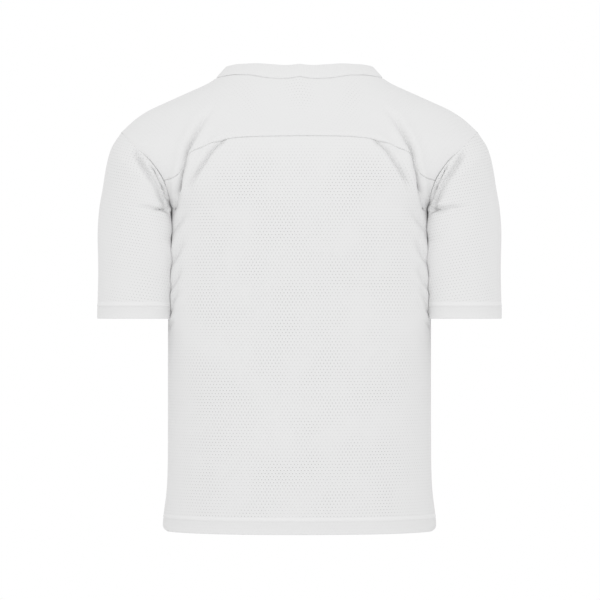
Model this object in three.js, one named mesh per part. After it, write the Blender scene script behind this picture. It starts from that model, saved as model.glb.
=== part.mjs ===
import * as THREE from 'three';

// A short-sleeved football jersey of light mesh cloth, filled out as when it is worn, with no wearer.
// Millimetres. +Z is up, the front faces -Y, the back faces +Y and +X is the wearer's left.
// The origin is between the shoulders, at the height where the neckline crosses the shoulder lines.

// Cloth and seams
const WALL = 1.6;
const HEM_THICKENING = 0.9;
const RIB_WALL = 2.4;
const RIB_BULGE = 0.8;
const OUTER_SETBACK = 0.15;
const INNER_SETBACK = 0.6;

// Lengths of the garment
const HEM_Z = -720;
const BODY_HEM = 26;
const HEM_STEP = 3;
const UNDERARM_Z = -208;
const SHOULDER_TIP_Z = -83;
const ARMHOLE_HALF_DEPTH = 84;
const NECK_HALF_WIDTH = 133;
const NECK_BACK_Z = 0.7;
const NECK_FRONT_Z = -88;
const COLLAR_HEIGHT = 27.5;
const COLLAR_LEAN = THREE.MathUtils.degToRad(34);
const NECK_FRONT_ROUNDNESS = 0.8;
const SECTION_SQUARENESS = 2.3;

// Half the width at the side seams, from the hem up to the underarm
const SIDE_SEAM = [
  { z: -720, x: 218.4 },
  { z: -690, x: 216.6 },
  { z: -655, x: 214 },
  { z: -600, x: 212 },
  { z: -400, x: 210.4 },
  { z: -320, x: 207.5 },
  { z: -256, x: 206 },
  { z: -230, x: 205 },
  { z: -208, x: 205 },
];

// The armhole's edge, from the underarm up to the tip of the shoulder
const ARMHOLE_EDGE = [
  { z: -208, x: 205 },
  { z: -192, x: 206 },
  { z: -166, x: 213 },
  { z: -134, x: 233 },
  { z: -107, x: 261 },
  { z: -83, x: 285 },
];

// The shoulder line, from its tip to the neck, and on above the neck opening as a construction line
const SHOULDER_LINE = [
  { z: -83, x: 285 },
  { z: -62, x: 262 },
  { z: -48, x: 240 },
  { z: -35, x: 210 },
  { z: -19, x: 174 },
  { z: -3, x: 142 },
  { z: 3, x: 133 },
  { z: 10.4, x: 125 },
  { z: 34.6, x: 94 },
  { z: 54, x: 45 },
  { z: 60, x: 0 },
];

// How far the back and the front stand from the side seams' plane, at the middle of each
const BACK_DEPTH = [
  { z: -720, y: 130 },
  { z: -600, y: 126 },
  { z: -450, y: 122 },
  { z: -320, y: 126 },
  { z: -200, y: 132 },
  { z: -145, y: 128 },
  { z: -95, y: 117 },
  { z: -62, y: 100 },
  { z: -35, y: 87 },
  { z: 3, y: 68 },
  { z: 60, y: 34 },
];
const FRONT_DEPTH = [
  { z: -720, y: 133 },
  { z: -600, y: 132 },
  { z: -450, y: 129 },
  { z: -300, y: 130 },
  { z: -200, y: 128 },
  { z: -160, y: 121 },
  { z: -120, y: 111 },
  { z: -85, y: 99 },
  { z: -50, y: 81 },
  { z: 3, y: 55 },
  { z: 60, y: 28 },
];

// How flat the sides of the body are: the power of the depth in a section's equation, greatest by the arms
const SIDE_FLATNESS = [
  { z: -720, power: 2 },
  { z: -420, power: 2.1 },
  { z: -270, power: 2.8 },
  { z: -208, power: 3.2 },
  { z: -150, power: 3 },
  { z: -110, power: 2.3 },
  { z: -83, power: 2 },
  { z: 60, power: 2 },
];

// The seam between the back and the yoke, from the middle of the back out to the armhole
const BACK_YOKE_SEAM = [
  { x: 0, z: -93 },
  { x: 70, z: -94 },
  { x: 101, z: -96 },
  { x: 127, z: -101 },
  { x: 156, z: -112 },
  { x: 181, z: -127 },
  { x: 197, z: -148 },
  { x: 213, z: -166 },
];

// Sections of a sleeve, from the armhole down to the cuff: its outer and inner side and half its depth
const SLEEVE_SECTIONS = [
  { outerX: 285, outerZ: -83, innerX: 205, innerZ: -208, halfDepth: 84 },
  { outerX: 301, outerZ: -110, innerX: 211, innerZ: -216, halfDepth: 85 },
  { outerX: 310, outerZ: -141, innerX: 214, innerZ: -238, halfDepth: 84 },
  { outerX: 316, outerZ: -172, innerX: 214, innerZ: -264, halfDepth: 82 },
  { outerX: 320, outerZ: -208, innerX: 213.5, innerZ: -290, halfDepth: 80 },
  { outerX: 322, outerZ: -250, innerX: 213, innerZ: -315, halfDepth: 77 },
  { outerX: 322, outerZ: -305, innerX: 213, innerZ: -338, halfDepth: 72 },
  { outerX: 323, outerZ: -361, innerX: 212.5, innerZ: -361, halfDepth: 69 },
  { outerX: 323, outerZ: -381, innerX: 212.5, innerZ: -381, halfDepth: 68.5 },
];

// Creases of the body, one row for each pair, left and right alike, side 1 on the back and -1 on the
// front. Each line runs from, through and to points given by width and height; depth is its trough,
// reach its half width, and ridge the height of the roll of cloth beside it, on the armhole's side.
const BODY_CREASES = [
  { side: 1, from: [136, -48], through: [182, -126], to: [198, -213], depth: 9, reach: 9, ridge: 5 },
  { side: 1, from: [119, -102], through: [160, -147], to: [180, -196], depth: 6, reach: 9, ridge: 3 },
  { side: 1, from: [156, -186], through: [182, -208], to: [203, -232], depth: 4, reach: 11, ridge: 2 },
  { side: 1, from: [168, -246], through: [190, -268], to: [204, -296], depth: 4, reach: 12, ridge: 2.5 },
  { side: 1, from: [176, -300], through: [194, -316], to: [205, -338], depth: 3, reach: 11, ridge: 2 },
  { side: 1, from: [182, -342], through: [198, -356], to: [207, -376], depth: 2.5, reach: 12, ridge: 1.5 },
  { side: -1, from: [152, -62], through: [190, -130], to: [200, -208], depth: 7, reach: 10, ridge: 4 },
  { side: -1, from: [112, -132], through: [158, -168], to: [184, -220], depth: 5, reach: 11, ridge: 3 },
  { side: -1, from: [150, -214], through: [180, -236], to: [203, -268], depth: 4, reach: 12, ridge: 2 },
  { side: -1, from: [164, -276], through: [188, -296], to: [205, -322], depth: 3, reach: 12, ridge: 2 },
  { side: -1, from: [178, -340], through: [196, -356], to: [207, -380], depth: 2.5, reach: 12, ridge: 1.5 },
];

// Creases of a sleeve, given by sections counted down from the armhole and degrees around from the
// outer side, plus towards the back and minus towards the front. The roll is on the cuff's side.
const SLEEVE_CREASES = [
  { from: [0.5, 46], through: [0.55, 110], to: [0.7, 176], depth: 9, reach: 8, ridge: 4 },
  { from: [1, 172], through: [1.7, 128], to: [2.7, 76], depth: 7, reach: 10, ridge: 2.5 },
  { from: [2.2, 176], through: [3, 142], to: [3.8, 104], depth: 3, reach: 13, ridge: 1.5 },
  { from: [0.5, -52], through: [0.55, -112], to: [0.7, -174], depth: 8, reach: 8, ridge: 4 },
  { from: [1.1, -172], through: [1.8, -126], to: [2.8, -82], depth: 6, reach: 11, ridge: 2.5 },
  { from: [2.4, -174], through: [3.2, -138], to: [4, -98], depth: 3, reach: 13, ridge: 1.5 },
];

// How finely each piece is divided
const HALF_BACK_COLUMNS = 18;
const HALF_NECK_FRONT_COLUMNS = 6;
const YOKE_ROWS = 9;
const COLLAR_ROWS = 3;
const CREASE_STEPS = 14;
const CREASE_RANGE = 4;
const CREASE_FADE = 0.6;
const ROLL_PLACE = 1.5;
const NORMAL_STEP = 0.5;
const HALVING_ROUNDS = 40;
const NECK_ANGLE_AT_BACK_SEAM = 62;
const NECK_ANGLE_AT_FRONT_SEAM = 122;
const LEVEL_ROWS_BELOW_Z = -600;
const BODY_ROW_HEIGHTS = [
  -640, -580, -520, -465, -420, -388, -364, -342, -320, -300, -281, -263, -246, -230, -217, -208,
];
const BACK_SEAM_ANGLE = 106.3;
const FRONT_SEAM_ANGLE = -73.7;
const ARMHOLE_ANGLES_BACK = [180, 160, 140, 122, BACK_SEAM_ANGLE];
const ARMHOLE_ANGLES_FRONT = [180, 200, 220, 238, 254, 270, 360 + FRONT_SEAM_ANGLE];
const YOKE_ARMHOLE_COLUMNS = 10;
const SLEEVE_ROWS = [
  0, 0.2, 0.4, 0.6, 0.8, 1.05, 1.35, 1.7, 2.1, 2.5, 3, 3.5, 4.1, 4.8, 5.6, 6.4, 6.9, 7, 8,
];
const SLEEVE_HEM_SECTION = 7;
const SLEEVE_CREASES_FULL_FROM = 0.25;

const CLOTH_COLOUR = 0xf1f1f1;
const RIB_COLOUR = 0xf3f3f3;

const radians = THREE.MathUtils.degToRad;
const lerp = THREE.MathUtils.lerp;
const cosine = (degrees) => Math.cos(radians(degrees));
const sine = (degrees) => Math.sin(radians(degrees));

// A smooth function through a table's rows that never overshoots them
function smoothTable(rows, key, value) {
  const at = rows.map((row) => row[key]);
  const height = rows.map((row) => row[value]);
  const last = rows.length - 1;
  const chords = at.slice(1).map((end, i) => (height[i + 1] - height[i]) / (end - at[i]));
  const slopes = at.map((_, i) => {
    if (i === 0) return chords[0];
    if (i === last) return chords[last - 1];
    if (chords[i - 1] * chords[i] <= 0) return 0;
    const before = at[i] - at[i - 1];
    const after = at[i + 1] - at[i];
    const weightBefore = 2 * after + before;
    const weightAfter = after + 2 * before;
    return (weightBefore + weightAfter) / (weightBefore / chords[i - 1] + weightAfter / chords[i]);
  });
  return (where) => {
    let i = 0;
    while (i < last - 1 && where > at[i + 1]) i += 1;
    const span = at[i + 1] - at[i];
    const t = THREE.MathUtils.clamp((where - at[i]) / span, 0, 1);
    const rise = t * t * (3 - 2 * t);
    const easeOut = t * (1 - t) * (1 - t);
    const easeIn = t * t * (1 - t);
    return lerp(height[i], height[i + 1], rise) + span * (slopes[i] * easeOut - slopes[i + 1] * easeIn);
  };
}

const sideSeamX = smoothTable(SIDE_SEAM, 'z', 'x');
const armholeX = smoothTable(ARMHOLE_EDGE, 'z', 'x');
const shoulderX = smoothTable(SHOULDER_LINE, 'z', 'x');
const backDepth = smoothTable(BACK_DEPTH, 'z', 'y');
const frontDepth = smoothTable(FRONT_DEPTH, 'z', 'y');
const sideFlatness = smoothTable(SIDE_FLATNESS, 'z', 'power');
const backSeamZ = smoothTable(BACK_YOKE_SEAM, 'x', 'z');
const TOP_OF_CONSTRUCTION_Z = SHOULDER_LINE[SHOULDER_LINE.length - 1].z;
const ARMHOLE_MIDDLE_Z = (UNDERARM_Z + SHOULDER_TIP_Z) / 2;
const ARMHOLE_HALF_HEIGHT = (SHOULDER_TIP_Z - UNDERARM_Z) / 2;

// Height on the armhole's edge at an angle counted from the tip of the shoulder
const armholeZ = (degrees) => ARMHOLE_MIDDLE_Z + ARMHOLE_HALF_HEIGHT * cosine(degrees);

// Half the width of the body's cloth at a height, out to its side seam, armhole or shoulder line
function edgeX(z) {
  if (z <= UNDERARM_Z) return sideSeamX(z);
  return z <= SHOULDER_TIP_Z ? armholeX(z) : shoulderX(z);
}

// How far the cloth's edge lies from the side seams' plane: only the armhole stands open
function edgeDepth(z) {
  const fromMiddle = (z - ARMHOLE_MIDDLE_Z) / ARMHOLE_HALF_HEIGHT;
  return ARMHOLE_HALF_DEPTH * Math.sqrt(Math.max(0, 1 - fromMiddle * fromMiddle));
}

const middleDepth = (z, side) => (side > 0 ? backDepth(z) : frontDepth(z));

// Half the width that the section would have if it ran on past the armhole
function sectionX(z, side) {
  const cutOff = edgeDepth(z) / middleDepth(z, side);
  return edgeX(z) / Math.pow(1 - Math.pow(cutOff, sideFlatness(z)), 1 / SECTION_SQUARENESS);
}

// The body's surface at a width and a height, side 1 for the back and -1 for the front
function bodyPoint(x, z, side) {
  const across = Math.min(1, Math.abs(x) / sectionX(z, side));
  const share = Math.pow(1 - Math.pow(across, SECTION_SQUARENESS), 1 / sideFlatness(z));
  return new THREE.Vector3(x, side * middleDepth(z, side) * share, z);
}

// The way out of the body's surface, from how the section's equation changes around a point
function bodyNormal(point, side) {
  const fullness = (x, y, z) =>
    Math.pow(Math.abs(x) / sectionX(z, side), SECTION_SQUARENESS) +
    Math.pow(Math.abs(y) / middleDepth(z, side), sideFlatness(z));
  const { x, y, z } = point;
  const h = NORMAL_STEP;
  return new THREE.Vector3(
    fullness(x + h, y, z) - fullness(x - h, y, z),
    fullness(x, y + h, z) - fullness(x, y - h, z),
    fullness(x, y, z + h) - fullness(x, y, z - h),
  ).normalize();
}

// Height of the shoulder line at a width, found by halving
function shoulderZ(x) {
  let low = SHOULDER_TIP_Z;
  let high = TOP_OF_CONSTRUCTION_Z;
  for (let round = 0; round < HALVING_ROUNDS; round += 1) {
    const middle = (low + high) / 2;
    if (shoulderX(middle) > Math.abs(x)) low = middle;
    else high = middle;
  }
  return (low + high) / 2;
}

// The yoke is laid out by width and crown: the square root of the drop below the shoulder line,
// plus on the back and minus on the front, so it rolls smoothly over the shoulder.
const crownAt = (x, z, side) => side * Math.sqrt(Math.max(0, shoulderZ(x) - z));
const NECK_BACK_CROWN = Math.sqrt(TOP_OF_CONSTRUCTION_Z - NECK_BACK_Z);
const NECK_FRONT_CROWN = Math.sqrt(TOP_OF_CONSTRUCTION_Z - NECK_FRONT_Z);

function crownPlace(x, crown) {
  return { x, z: shoulderZ(x) - crown * crown, side: crown >= 0 ? 1 : -1, crown };
}

// A place on the neckline, by degrees around from the middle of the back
function neckPlace(degrees) {
  const c = cosine(degrees);
  const crown = c < 0 ? -NECK_FRONT_CROWN * Math.pow(-c, NECK_FRONT_ROUNDNESS) : NECK_BACK_CROWN * c;
  return crownPlace(degrees === 180 ? 0 : NECK_HALF_WIDTH * sine(degrees), crown);
}

// A place on the left armhole's edge, by degrees around from the tip of the shoulder
function armholePlace(degrees) {
  const z = armholeZ(degrees);
  const side = sine(degrees) >= 0 ? 1 : -1;
  const x = armholeX(z);
  return { x, z, side, crown: crownAt(x, z, side) };
}

// A crease's line as points on a surface; a quadratic curve runs through its three named points
function creaseLine(crease, pointAt) {
  const { from, through, to } = crease;
  const pull = [0, 1].map((k) => 2 * through[k] - (from[k] + to[k]) / 2);
  const points = [];
  for (let step = 0; step <= CREASE_STEPS; step += 1) {
    const t = step / CREASE_STEPS;
    const [a, b] = [0, 1].map((k) => from[k] * (1 - t) ** 2 + 2 * pull[k] * t * (1 - t) + to[k] * t * t);
    points.push(pointAt(a, b));
  }
  return points;
}

// How far one crease moves a point of the surface out (plus) or in (minus)
function creasePush(crease, point, normal) {
  const { line, turn, depth, reach, ridge } = crease;
  let nearest = { distance: Infinity, along: 0, offset: null, heading: null };
  const start = new THREE.Vector3();
  for (let i = 0; i < line.length - 1; i += 1) {
    const heading = line[i + 1].clone().sub(line[i]);
    start.copy(point).sub(line[i]);
    const t = THREE.MathUtils.clamp(start.dot(heading) / heading.lengthSq(), 0, 1);
    const offset = start.clone().addScaledVector(heading, -t);
    if (offset.length() < nearest.distance) {
      nearest = { distance: offset.length(), along: (i + t) / (line.length - 1), offset, heading };
    }
  }
  if (nearest.distance > CREASE_RANGE * reach) return 0;
  const across = nearest.heading.clone().cross(nearest.offset).dot(normal) * turn;
  const signed = Math.sign(across) * nearest.distance;
  const fade = Math.pow(Math.max(0, Math.sin(Math.PI * nearest.along)), CREASE_FADE);
  const trough = Math.exp(-((signed / reach) ** 2));
  const roll = Math.exp(-((signed / reach - ROLL_PLACE) ** 2));
  return fade * (ridge * roll - depth * trough);
}

// The body's creases, each made on the left and mirrored to the right
const bodyCreases = BODY_CREASES.flatMap((crease) =>
  [1, -1].map((mirror) => ({
    ...crease,
    turn: mirror * crease.side,
    line: creaseLine(crease, (x, z) => bodyPoint(mirror * x, z, crease.side)),
  })),
);

// A place on the body turned into its point, with the creases pressed in
function creasedPoint({ x, z, side }) {
  const point = bodyPoint(x, z, side);
  const normal = bodyNormal(point, side);
  const push = bodyCreases.reduce((sum, crease) => sum + creasePush(crease, point, normal), 0);
  return point.addScaledVector(normal, push);
}

// The way out of a grid of points at one of them, from its neighbours
function gridNormal(grid, row, column, closed) {
  const columns = grid[0].length;
  const wrap = (c) => (closed ? (c + columns) % columns : THREE.MathUtils.clamp(c, 0, columns - 1));
  const clampRow = (r) => THREE.MathUtils.clamp(r, 0, grid.length - 1);
  const along = grid[row][wrap(column + 1)].clone().sub(grid[row][wrap(column - 1)]);
  const up = grid[clampRow(row + 1)][column].clone().sub(grid[clampRow(row - 1)][column]);
  return along.cross(up).normalize();
}

// Moves a grid's edges back from the seams, each towards the next row or column
function setBack(grid, distance, closed) {
  const towards = (point, next) => {
    const way = next.clone().sub(point);
    return point.clone().addScaledVector(way, distance / way.length());
  };
  const lastRow = grid.length - 1;
  const lastColumn = grid[0].length - 1;
  const rows = grid.map((row) => row.map((point) => point.clone()));
  rows[0] = grid[0].map((point, c) => towards(point, grid[1][c]));
  rows[lastRow] = grid[lastRow].map((point, c) => towards(point, grid[lastRow - 1][c]));
  if (closed) return rows;
  return rows.map((row) =>
    row.map((point, c) => {
      if (c === 0) return towards(point, row[1]);
      return c === lastColumn ? towards(point, row[lastColumn - 1]) : point;
    }),
  );
}

// One closed wall of cloth: the outer grid, an inner one a thickness behind it, and the cut edges
function clothMesh(name, outer, { closed = false, wall = WALL, thicken = () => 0, material }) {
  const inner = outer.map((row, r) =>
    row.map((point, c) => point.clone().addScaledVector(gridNormal(outer, r, c, closed), -wall)),
  );
  const raised = outer.map((row, r) =>
    row.map((point, c) => point.clone().addScaledVector(gridNormal(outer, r, c, closed), thicken(r))),
  );
  const faces = [setBack(raised, OUTER_SETBACK, closed), setBack(inner, INNER_SETBACK, closed)];
  const rows = outer.length;
  const columns = outer[0].length;
  const number = (layer, r, c) => (layer * rows + r) * columns + (c % columns);
  const index = [];
  const quad = (a, b, c, d) => index.push(a, b, c, a, c, d);
  const cells = closed ? columns : columns - 1;
  for (let r = 0; r < rows - 1; r += 1) {
    for (let c = 0; c < cells; c += 1) {
      const across = (c + 1) % columns;
      const rising = outer[r][c].distanceTo(outer[r + 1][across]);
      const falling = outer[r][across].distanceTo(outer[r + 1][c]);
      const corners = [[r, c], [r, c + 1], [r + 1, c + 1], [r + 1, c]];
      if (falling < rising) corners.unshift(corners.pop());
      quad(...corners.map((corner) => number(0, ...corner)));
      quad(...[corners[0], corners[3], corners[2], corners[1]].map((corner) => number(1, ...corner)));
    }
  }
  const top = rows - 1;
  for (let c = 0; c < cells; c += 1) {
    quad(number(0, 0, c), number(1, 0, c), number(1, 0, c + 1), number(0, 0, c + 1));
    quad(number(0, top, c), number(0, top, c + 1), number(1, top, c + 1), number(1, top, c));
  }
  if (!closed) {
    const right = columns - 1;
    for (let r = 0; r < top; r += 1) {
      quad(number(0, r, 0), number(0, r + 1, 0), number(1, r + 1, 0), number(1, r, 0));
      quad(number(0, r, right), number(1, r, right), number(1, r + 1, right), number(0, r + 1, right));
    }
  }
  const geometry = new THREE.BufferGeometry();
  const positions = faces.flat(2).flatMap((point) => [point.x, point.y, point.z]);
  geometry.setAttribute('position', new THREE.Float32BufferAttribute(positions, 3));
  geometry.setIndex(index);
  const mesh = new THREE.Mesh(geometry, material);
  mesh.name = name;
  return mesh;
}

// White cloth; each piece has its own material
const cloth = () => new THREE.MeshStandardMaterial({ color: CLOTH_COLOUR, roughness: 0.85, metalness: 0 });
const rib = () => new THREE.MeshStandardMaterial({ color: RIB_COLOUR, roughness: 0.9, metalness: 0 });

// How wide open the section is at a height, as the angle at which its edge stands
function edgeAngle(z, side) {
  return Math.asin(Math.min(1, edgeX(z) / sectionX(z, side)));
}

// A share of the way from the middle (0) to the edge (1) of a panel, as a width and back again.
// Above the corner where its armhole ends, a panel keeps the section of that corner.
const widthAt = (share, z, side) => sectionX(z, side) * Math.sin(share * edgeAngle(z, side));
const shareAt = (x, z, side) => Math.asin(x / sectionX(z, side)) / edgeAngle(z, side);

// A body panel: columns hang from places on its top edge down to the hem, on the edge's own rows
function bodyPanel(name, topPlaces, side, armholeAngles) {
  const edgeRows = [HEM_Z, HEM_Z + BODY_HEM, HEM_Z + BODY_HEM + HEM_STEP, ...BODY_ROW_HEIGHTS];
  edgeRows.push(...armholeAngles.slice(1).map(armholeZ));
  const edgeTopZ = edgeRows[edgeRows.length - 1];
  const grid = edgeRows.map((edgeZ) => {
    const rise = (edgeZ - HEM_Z) / (edgeTopZ - HEM_Z);
    return topPlaces.map((top) => {
      if (rise === 1) return creasedPoint(top);
      const level = edgeZ < LEVEL_ROWS_BELOW_Z || Math.abs(top.share) === 1;
      const z = level ? edgeZ : lerp(HEM_Z, top.z, rise);
      return creasedPoint({ x: widthAt(top.share, Math.min(z, edgeTopZ), side), z, side });
    });
  });
  const thicken = (r) => (r <= 1 ? HEM_THICKENING : 0);
  return clothMesh(name, grid, { thicken, material: cloth() });
}

// Places along the back's top edge, from the right armhole to the left one, closer near the armholes
function backTopPlaces() {
  const half = [];
  const cornerZ = armholeZ(BACK_SEAM_ANGLE);
  const cornerX = armholeX(cornerZ);
  for (let i = 0; i <= HALF_BACK_COLUMNS; i += 1) {
    const f = i / HALF_BACK_COLUMNS;
    const x = cornerX * f * (1.4 - 0.4 * f);
    const z = i === HALF_BACK_COLUMNS ? cornerZ : backSeamZ(x);
    const share = i === HALF_BACK_COLUMNS ? 1 : shareAt(x, cornerZ, 1);
    half.push({ x, z, side: 1, share, crown: crownAt(x, z, 1) });
  }
  return mirrored(half);
}

// A run of places from the middle out, with its mirror image before it
function mirrored(half) {
  const flipped = half
    .slice(half[0].x === 0 ? 1 : 0)
    .reverse()
    .map((place) => ({ ...place, x: -place.x, share: -place.share }));
  return [...flipped, ...half];
}

// The yoke, one piece over both shoulders: a column for each place on its outer edge, which runs up
// the front of one armhole, along the back seam and down the front of the other armhole
function yokeColumns() {
  const back = backTopPlaces().slice(HALF_BACK_COLUMNS);
  const outer = back.map((place, i) => ({
    ...place,
    neckAngle: (NECK_ANGLE_AT_BACK_SEAM * i) / HALF_BACK_COLUMNS,
  }));
  for (let i = 1; i <= YOKE_ARMHOLE_COLUMNS; i += 1) {
    const f = i / YOKE_ARMHOLE_COLUMNS;
    outer.push({
      ...armholePlace(lerp(BACK_SEAM_ANGLE, FRONT_SEAM_ANGLE, f)),
      neckAngle: lerp(NECK_ANGLE_AT_BACK_SEAM, NECK_ANGLE_AT_FRONT_SEAM, f),
    });
  }
  return outer;
}

// A column of the yoke from its outer edge in to the neckline
function yokeColumn(outer) {
  const neck = neckPlace(outer.neckAngle);
  return Array.from({ length: YOKE_ROWS + 1 }, (_, row) => {
    if (row === 0) return outer;
    if (row === YOKE_ROWS) return neck;
    const f = row / YOKE_ROWS;
    return crownPlace(lerp(outer.x, neck.x, f), lerp(outer.crown, neck.crown, f));
  });
}

const flipPlace = (place) => ({ ...place, x: -place.x });

function yokeGrid() {
  const left = yokeColumns().map(yokeColumn);
  const right = left.slice(1).reverse().map((column) => column.map(flipPlace));
  const columns = [...right, ...left];
  return Array.from({ length: YOKE_ROWS + 1 }, (_, row) => columns.map((column) => creasedPoint(column[row])));
}

// Degrees around the neckline at the front's points, from its middle to the yoke's front seam
const frontNeckAngles = Array.from({ length: HALF_NECK_FRONT_COLUMNS + 1 }, (_, i) =>
  lerp(180, NECK_ANGLE_AT_FRONT_SEAM, i / HALF_NECK_FRONT_COLUMNS),
);

// Places along the front's top edge: up one yoke seam, around the neckline and down the other seam
function frontTopPlaces() {
  const seam = yokeColumn(yokeColumns().at(-1)).reverse();
  const half = [...frontNeckAngles.map(neckPlace), ...seam.slice(1)];
  const cornerZ = armholeZ(FRONT_SEAM_ANGLE);
  half.forEach((place) => {
    place.side = -1;
    place.share = place === half.at(-1) ? 1 : shareAt(place.x, cornerZ, -1);
  });
  return mirrored(half);
}

// A sleeve's section point: an ellipse through its outer and inner sides
const sleeveTables = Object.fromEntries(
  Object.keys(SLEEVE_SECTIONS[0]).map((column) => {
    const numbered = SLEEVE_SECTIONS.map((section, number) => ({ number, value: section[column] }));
    return [column, smoothTable(numbered, 'number', 'value')];
  }),
);

function sleevePoint(section, degrees) {
  const { outerX, outerZ, innerX, innerZ, halfDepth } = sleeveTables;
  const out = (1 + cosine(degrees)) / 2;
  const x = lerp(innerX(section), outerX(section), out);
  const z = lerp(innerZ(section), outerZ(section), out);
  const atArmhole = Math.max(0, 1 - section);
  const edge = armholeX(armholeZ(degrees)) - lerp(ARMHOLE_EDGE[0].x, ARMHOLE_EDGE.at(-1).x, out);
  return new THREE.Vector3(x + edge * atArmhole, halfDepth(section) * sine(degrees), z);
}

const sleeveCreases = SLEEVE_CREASES.map((crease) => ({
  ...crease,
  turn: Math.sign(crease.through[1]),
  line: creaseLine(crease, sleevePoint),
}));

// Degrees around the armhole at which the body's pieces have their edge points
function armholeAngles() {
  const yoke = Array.from({ length: YOKE_ARMHOLE_COLUMNS }, (_, i) =>
    lerp(BACK_SEAM_ANGLE, FRONT_SEAM_ANGLE, i / YOKE_ARMHOLE_COLUMNS),
  );
  const front = ARMHOLE_ANGLES_FRONT.slice(1).reverse();
  const back = ARMHOLE_ANGLES_BACK.slice(0, -1);
  return [...yoke, ...front, ...back];
}

// Left sleeve, turned into the right one by its mirror image
function sleeveGrid(mirror) {
  const angles = armholeAngles();
  const first = angles.map((degrees) => {
    const place = armholePlace(degrees);
    return { base: bodyPoint(place.x, place.z, place.side), point: creasedPoint(place) };
  });
  const plain = SLEEVE_ROWS.map((section) => angles.map((degrees) => sleevePoint(section, degrees)));
  const grid = plain.map((row, r) =>
    row.map((point, c) => {
      if (r === 0) return first[c].point;
      const normal = gridNormal(plain, r, c, true).negate();
      const push = sleeveCreases.reduce((sum, crease) => sum + creasePush(crease, point, normal), 0);
      const carried = first[c].point.clone().sub(first[c].base);
      const carry = Math.max(0, 1 - SLEEVE_ROWS[r]);
      const fadeIn = Math.min(1, SLEEVE_ROWS[r] / SLEEVE_CREASES_FULL_FROM);
      return point.clone().addScaledVector(normal, push * fadeIn).addScaledVector(carried, carry);
    }),
  );
  const turned = grid.map((row) => (mirror > 0 ? row : [...row].reverse()));
  return turned.map((row) => row.map((point) => new THREE.Vector3(point.x * mirror, point.y, point.z)));
}

// The rib collar stands on the neckline and leans in, square to the neckline in plan
function collarGrid() {
  const yokeAngles = yokeColumns().map((column) => column.neckAngle);
  const half = [...yokeAngles, ...frontNeckAngles.slice(1, -1).reverse()].map(neckPlace);
  const loop = [...half, neckPlace(180), ...half.slice(1).reverse().map(flipPlace)];
  const base = loop.map(creasedPoint);
  const up = new THREE.Vector3(0, 0, 1);
  return Array.from({ length: COLLAR_ROWS + 1 }, (_, row) =>
    base.map((point, i) => {
      const f = row / COLLAR_ROWS;
      const next = base[(i + 1) % base.length];
      const previous = base[(i - 1 + base.length) % base.length];
      const inward = next.clone().sub(previous).setZ(0).normalize().cross(up);
      const bulge = RIB_BULGE * Math.sin(Math.PI * f);
      return point
        .clone()
        .addScaledVector(up, COLLAR_HEIGHT * f * Math.cos(COLLAR_LEAN))
        .addScaledVector(inward, COLLAR_HEIGHT * f * Math.sin(COLLAR_LEAN) - bulge);
    }),
  );
}

const sleeveHem = (r) => (SLEEVE_ROWS[r] >= SLEEVE_HEM_SECTION ? HEM_THICKENING : 0);

const group = new THREE.Group();
group.add(bodyPanel('back', backTopPlaces().reverse(), 1, ARMHOLE_ANGLES_BACK));
group.add(bodyPanel('front', frontTopPlaces(), -1, ARMHOLE_ANGLES_FRONT));
group.add(clothMesh('yoke', yokeGrid(), { material: cloth() }));
group.add(clothMesh('sleeve_left', sleeveGrid(1), { closed: true, thicken: sleeveHem, material: cloth() }));
group.add(clothMesh('sleeve_right', sleeveGrid(-1), { closed: true, thicken: sleeveHem, material: cloth() }));
group.add(clothMesh('collar', collarGrid().reverse(), { closed: true, wall: RIB_WALL, material: rib() }));

export default group;
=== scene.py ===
import bpy
import numpy as np
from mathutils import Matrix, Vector


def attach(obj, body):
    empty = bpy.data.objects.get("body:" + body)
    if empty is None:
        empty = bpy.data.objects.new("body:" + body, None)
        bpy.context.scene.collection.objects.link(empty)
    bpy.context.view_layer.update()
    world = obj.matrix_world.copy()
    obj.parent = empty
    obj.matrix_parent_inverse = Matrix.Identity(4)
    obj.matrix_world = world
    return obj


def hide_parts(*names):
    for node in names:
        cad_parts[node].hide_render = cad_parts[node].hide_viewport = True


# A short-sleeved football jersey of white mesh cloth, filled out as when it is worn.
# Sizes are in millimetres and are turned into metres where a mesh is made. +Z is up, +Y is out of
# the back and +X is the wearer's left. The origin is between the shoulders, on the neckline.

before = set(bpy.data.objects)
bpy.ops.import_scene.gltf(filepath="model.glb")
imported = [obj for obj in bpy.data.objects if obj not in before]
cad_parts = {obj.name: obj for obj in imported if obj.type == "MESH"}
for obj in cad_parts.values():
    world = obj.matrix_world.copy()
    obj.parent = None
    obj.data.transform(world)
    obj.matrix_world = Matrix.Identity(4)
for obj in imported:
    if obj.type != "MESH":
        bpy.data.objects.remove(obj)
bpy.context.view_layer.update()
MM = 0.001

# Thickness of the cloth, and the height over which a hem's thickness turns into it
CLOTH_WALL = 0.9
HEM_WALL = 2.2
RIB_WALL = 2.3
WALL_CHANGE = 1.5

# Seams: half the gap in one, and in the armhole's at the tip of the shoulder, where the pieces lap;
# how high the cloth stands beside one, and how far from it that rise begins and ends
SEAM_GAP = 0.15
SHOULDER_TIP_GAP = -0.42
SEAM_PUFF = 0.8
SEAM_REACH = 1.6
PUFF_REACH = 22
SLEEVE_SEAM_DEPTH = 0.5

# The armhole's seam is faint above one height and full below another
ARMHOLE_FAINTEST = 0.04
ARMHOLE_FAINT_Z = -98
ARMHOLE_FULL_Z = -150

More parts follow.
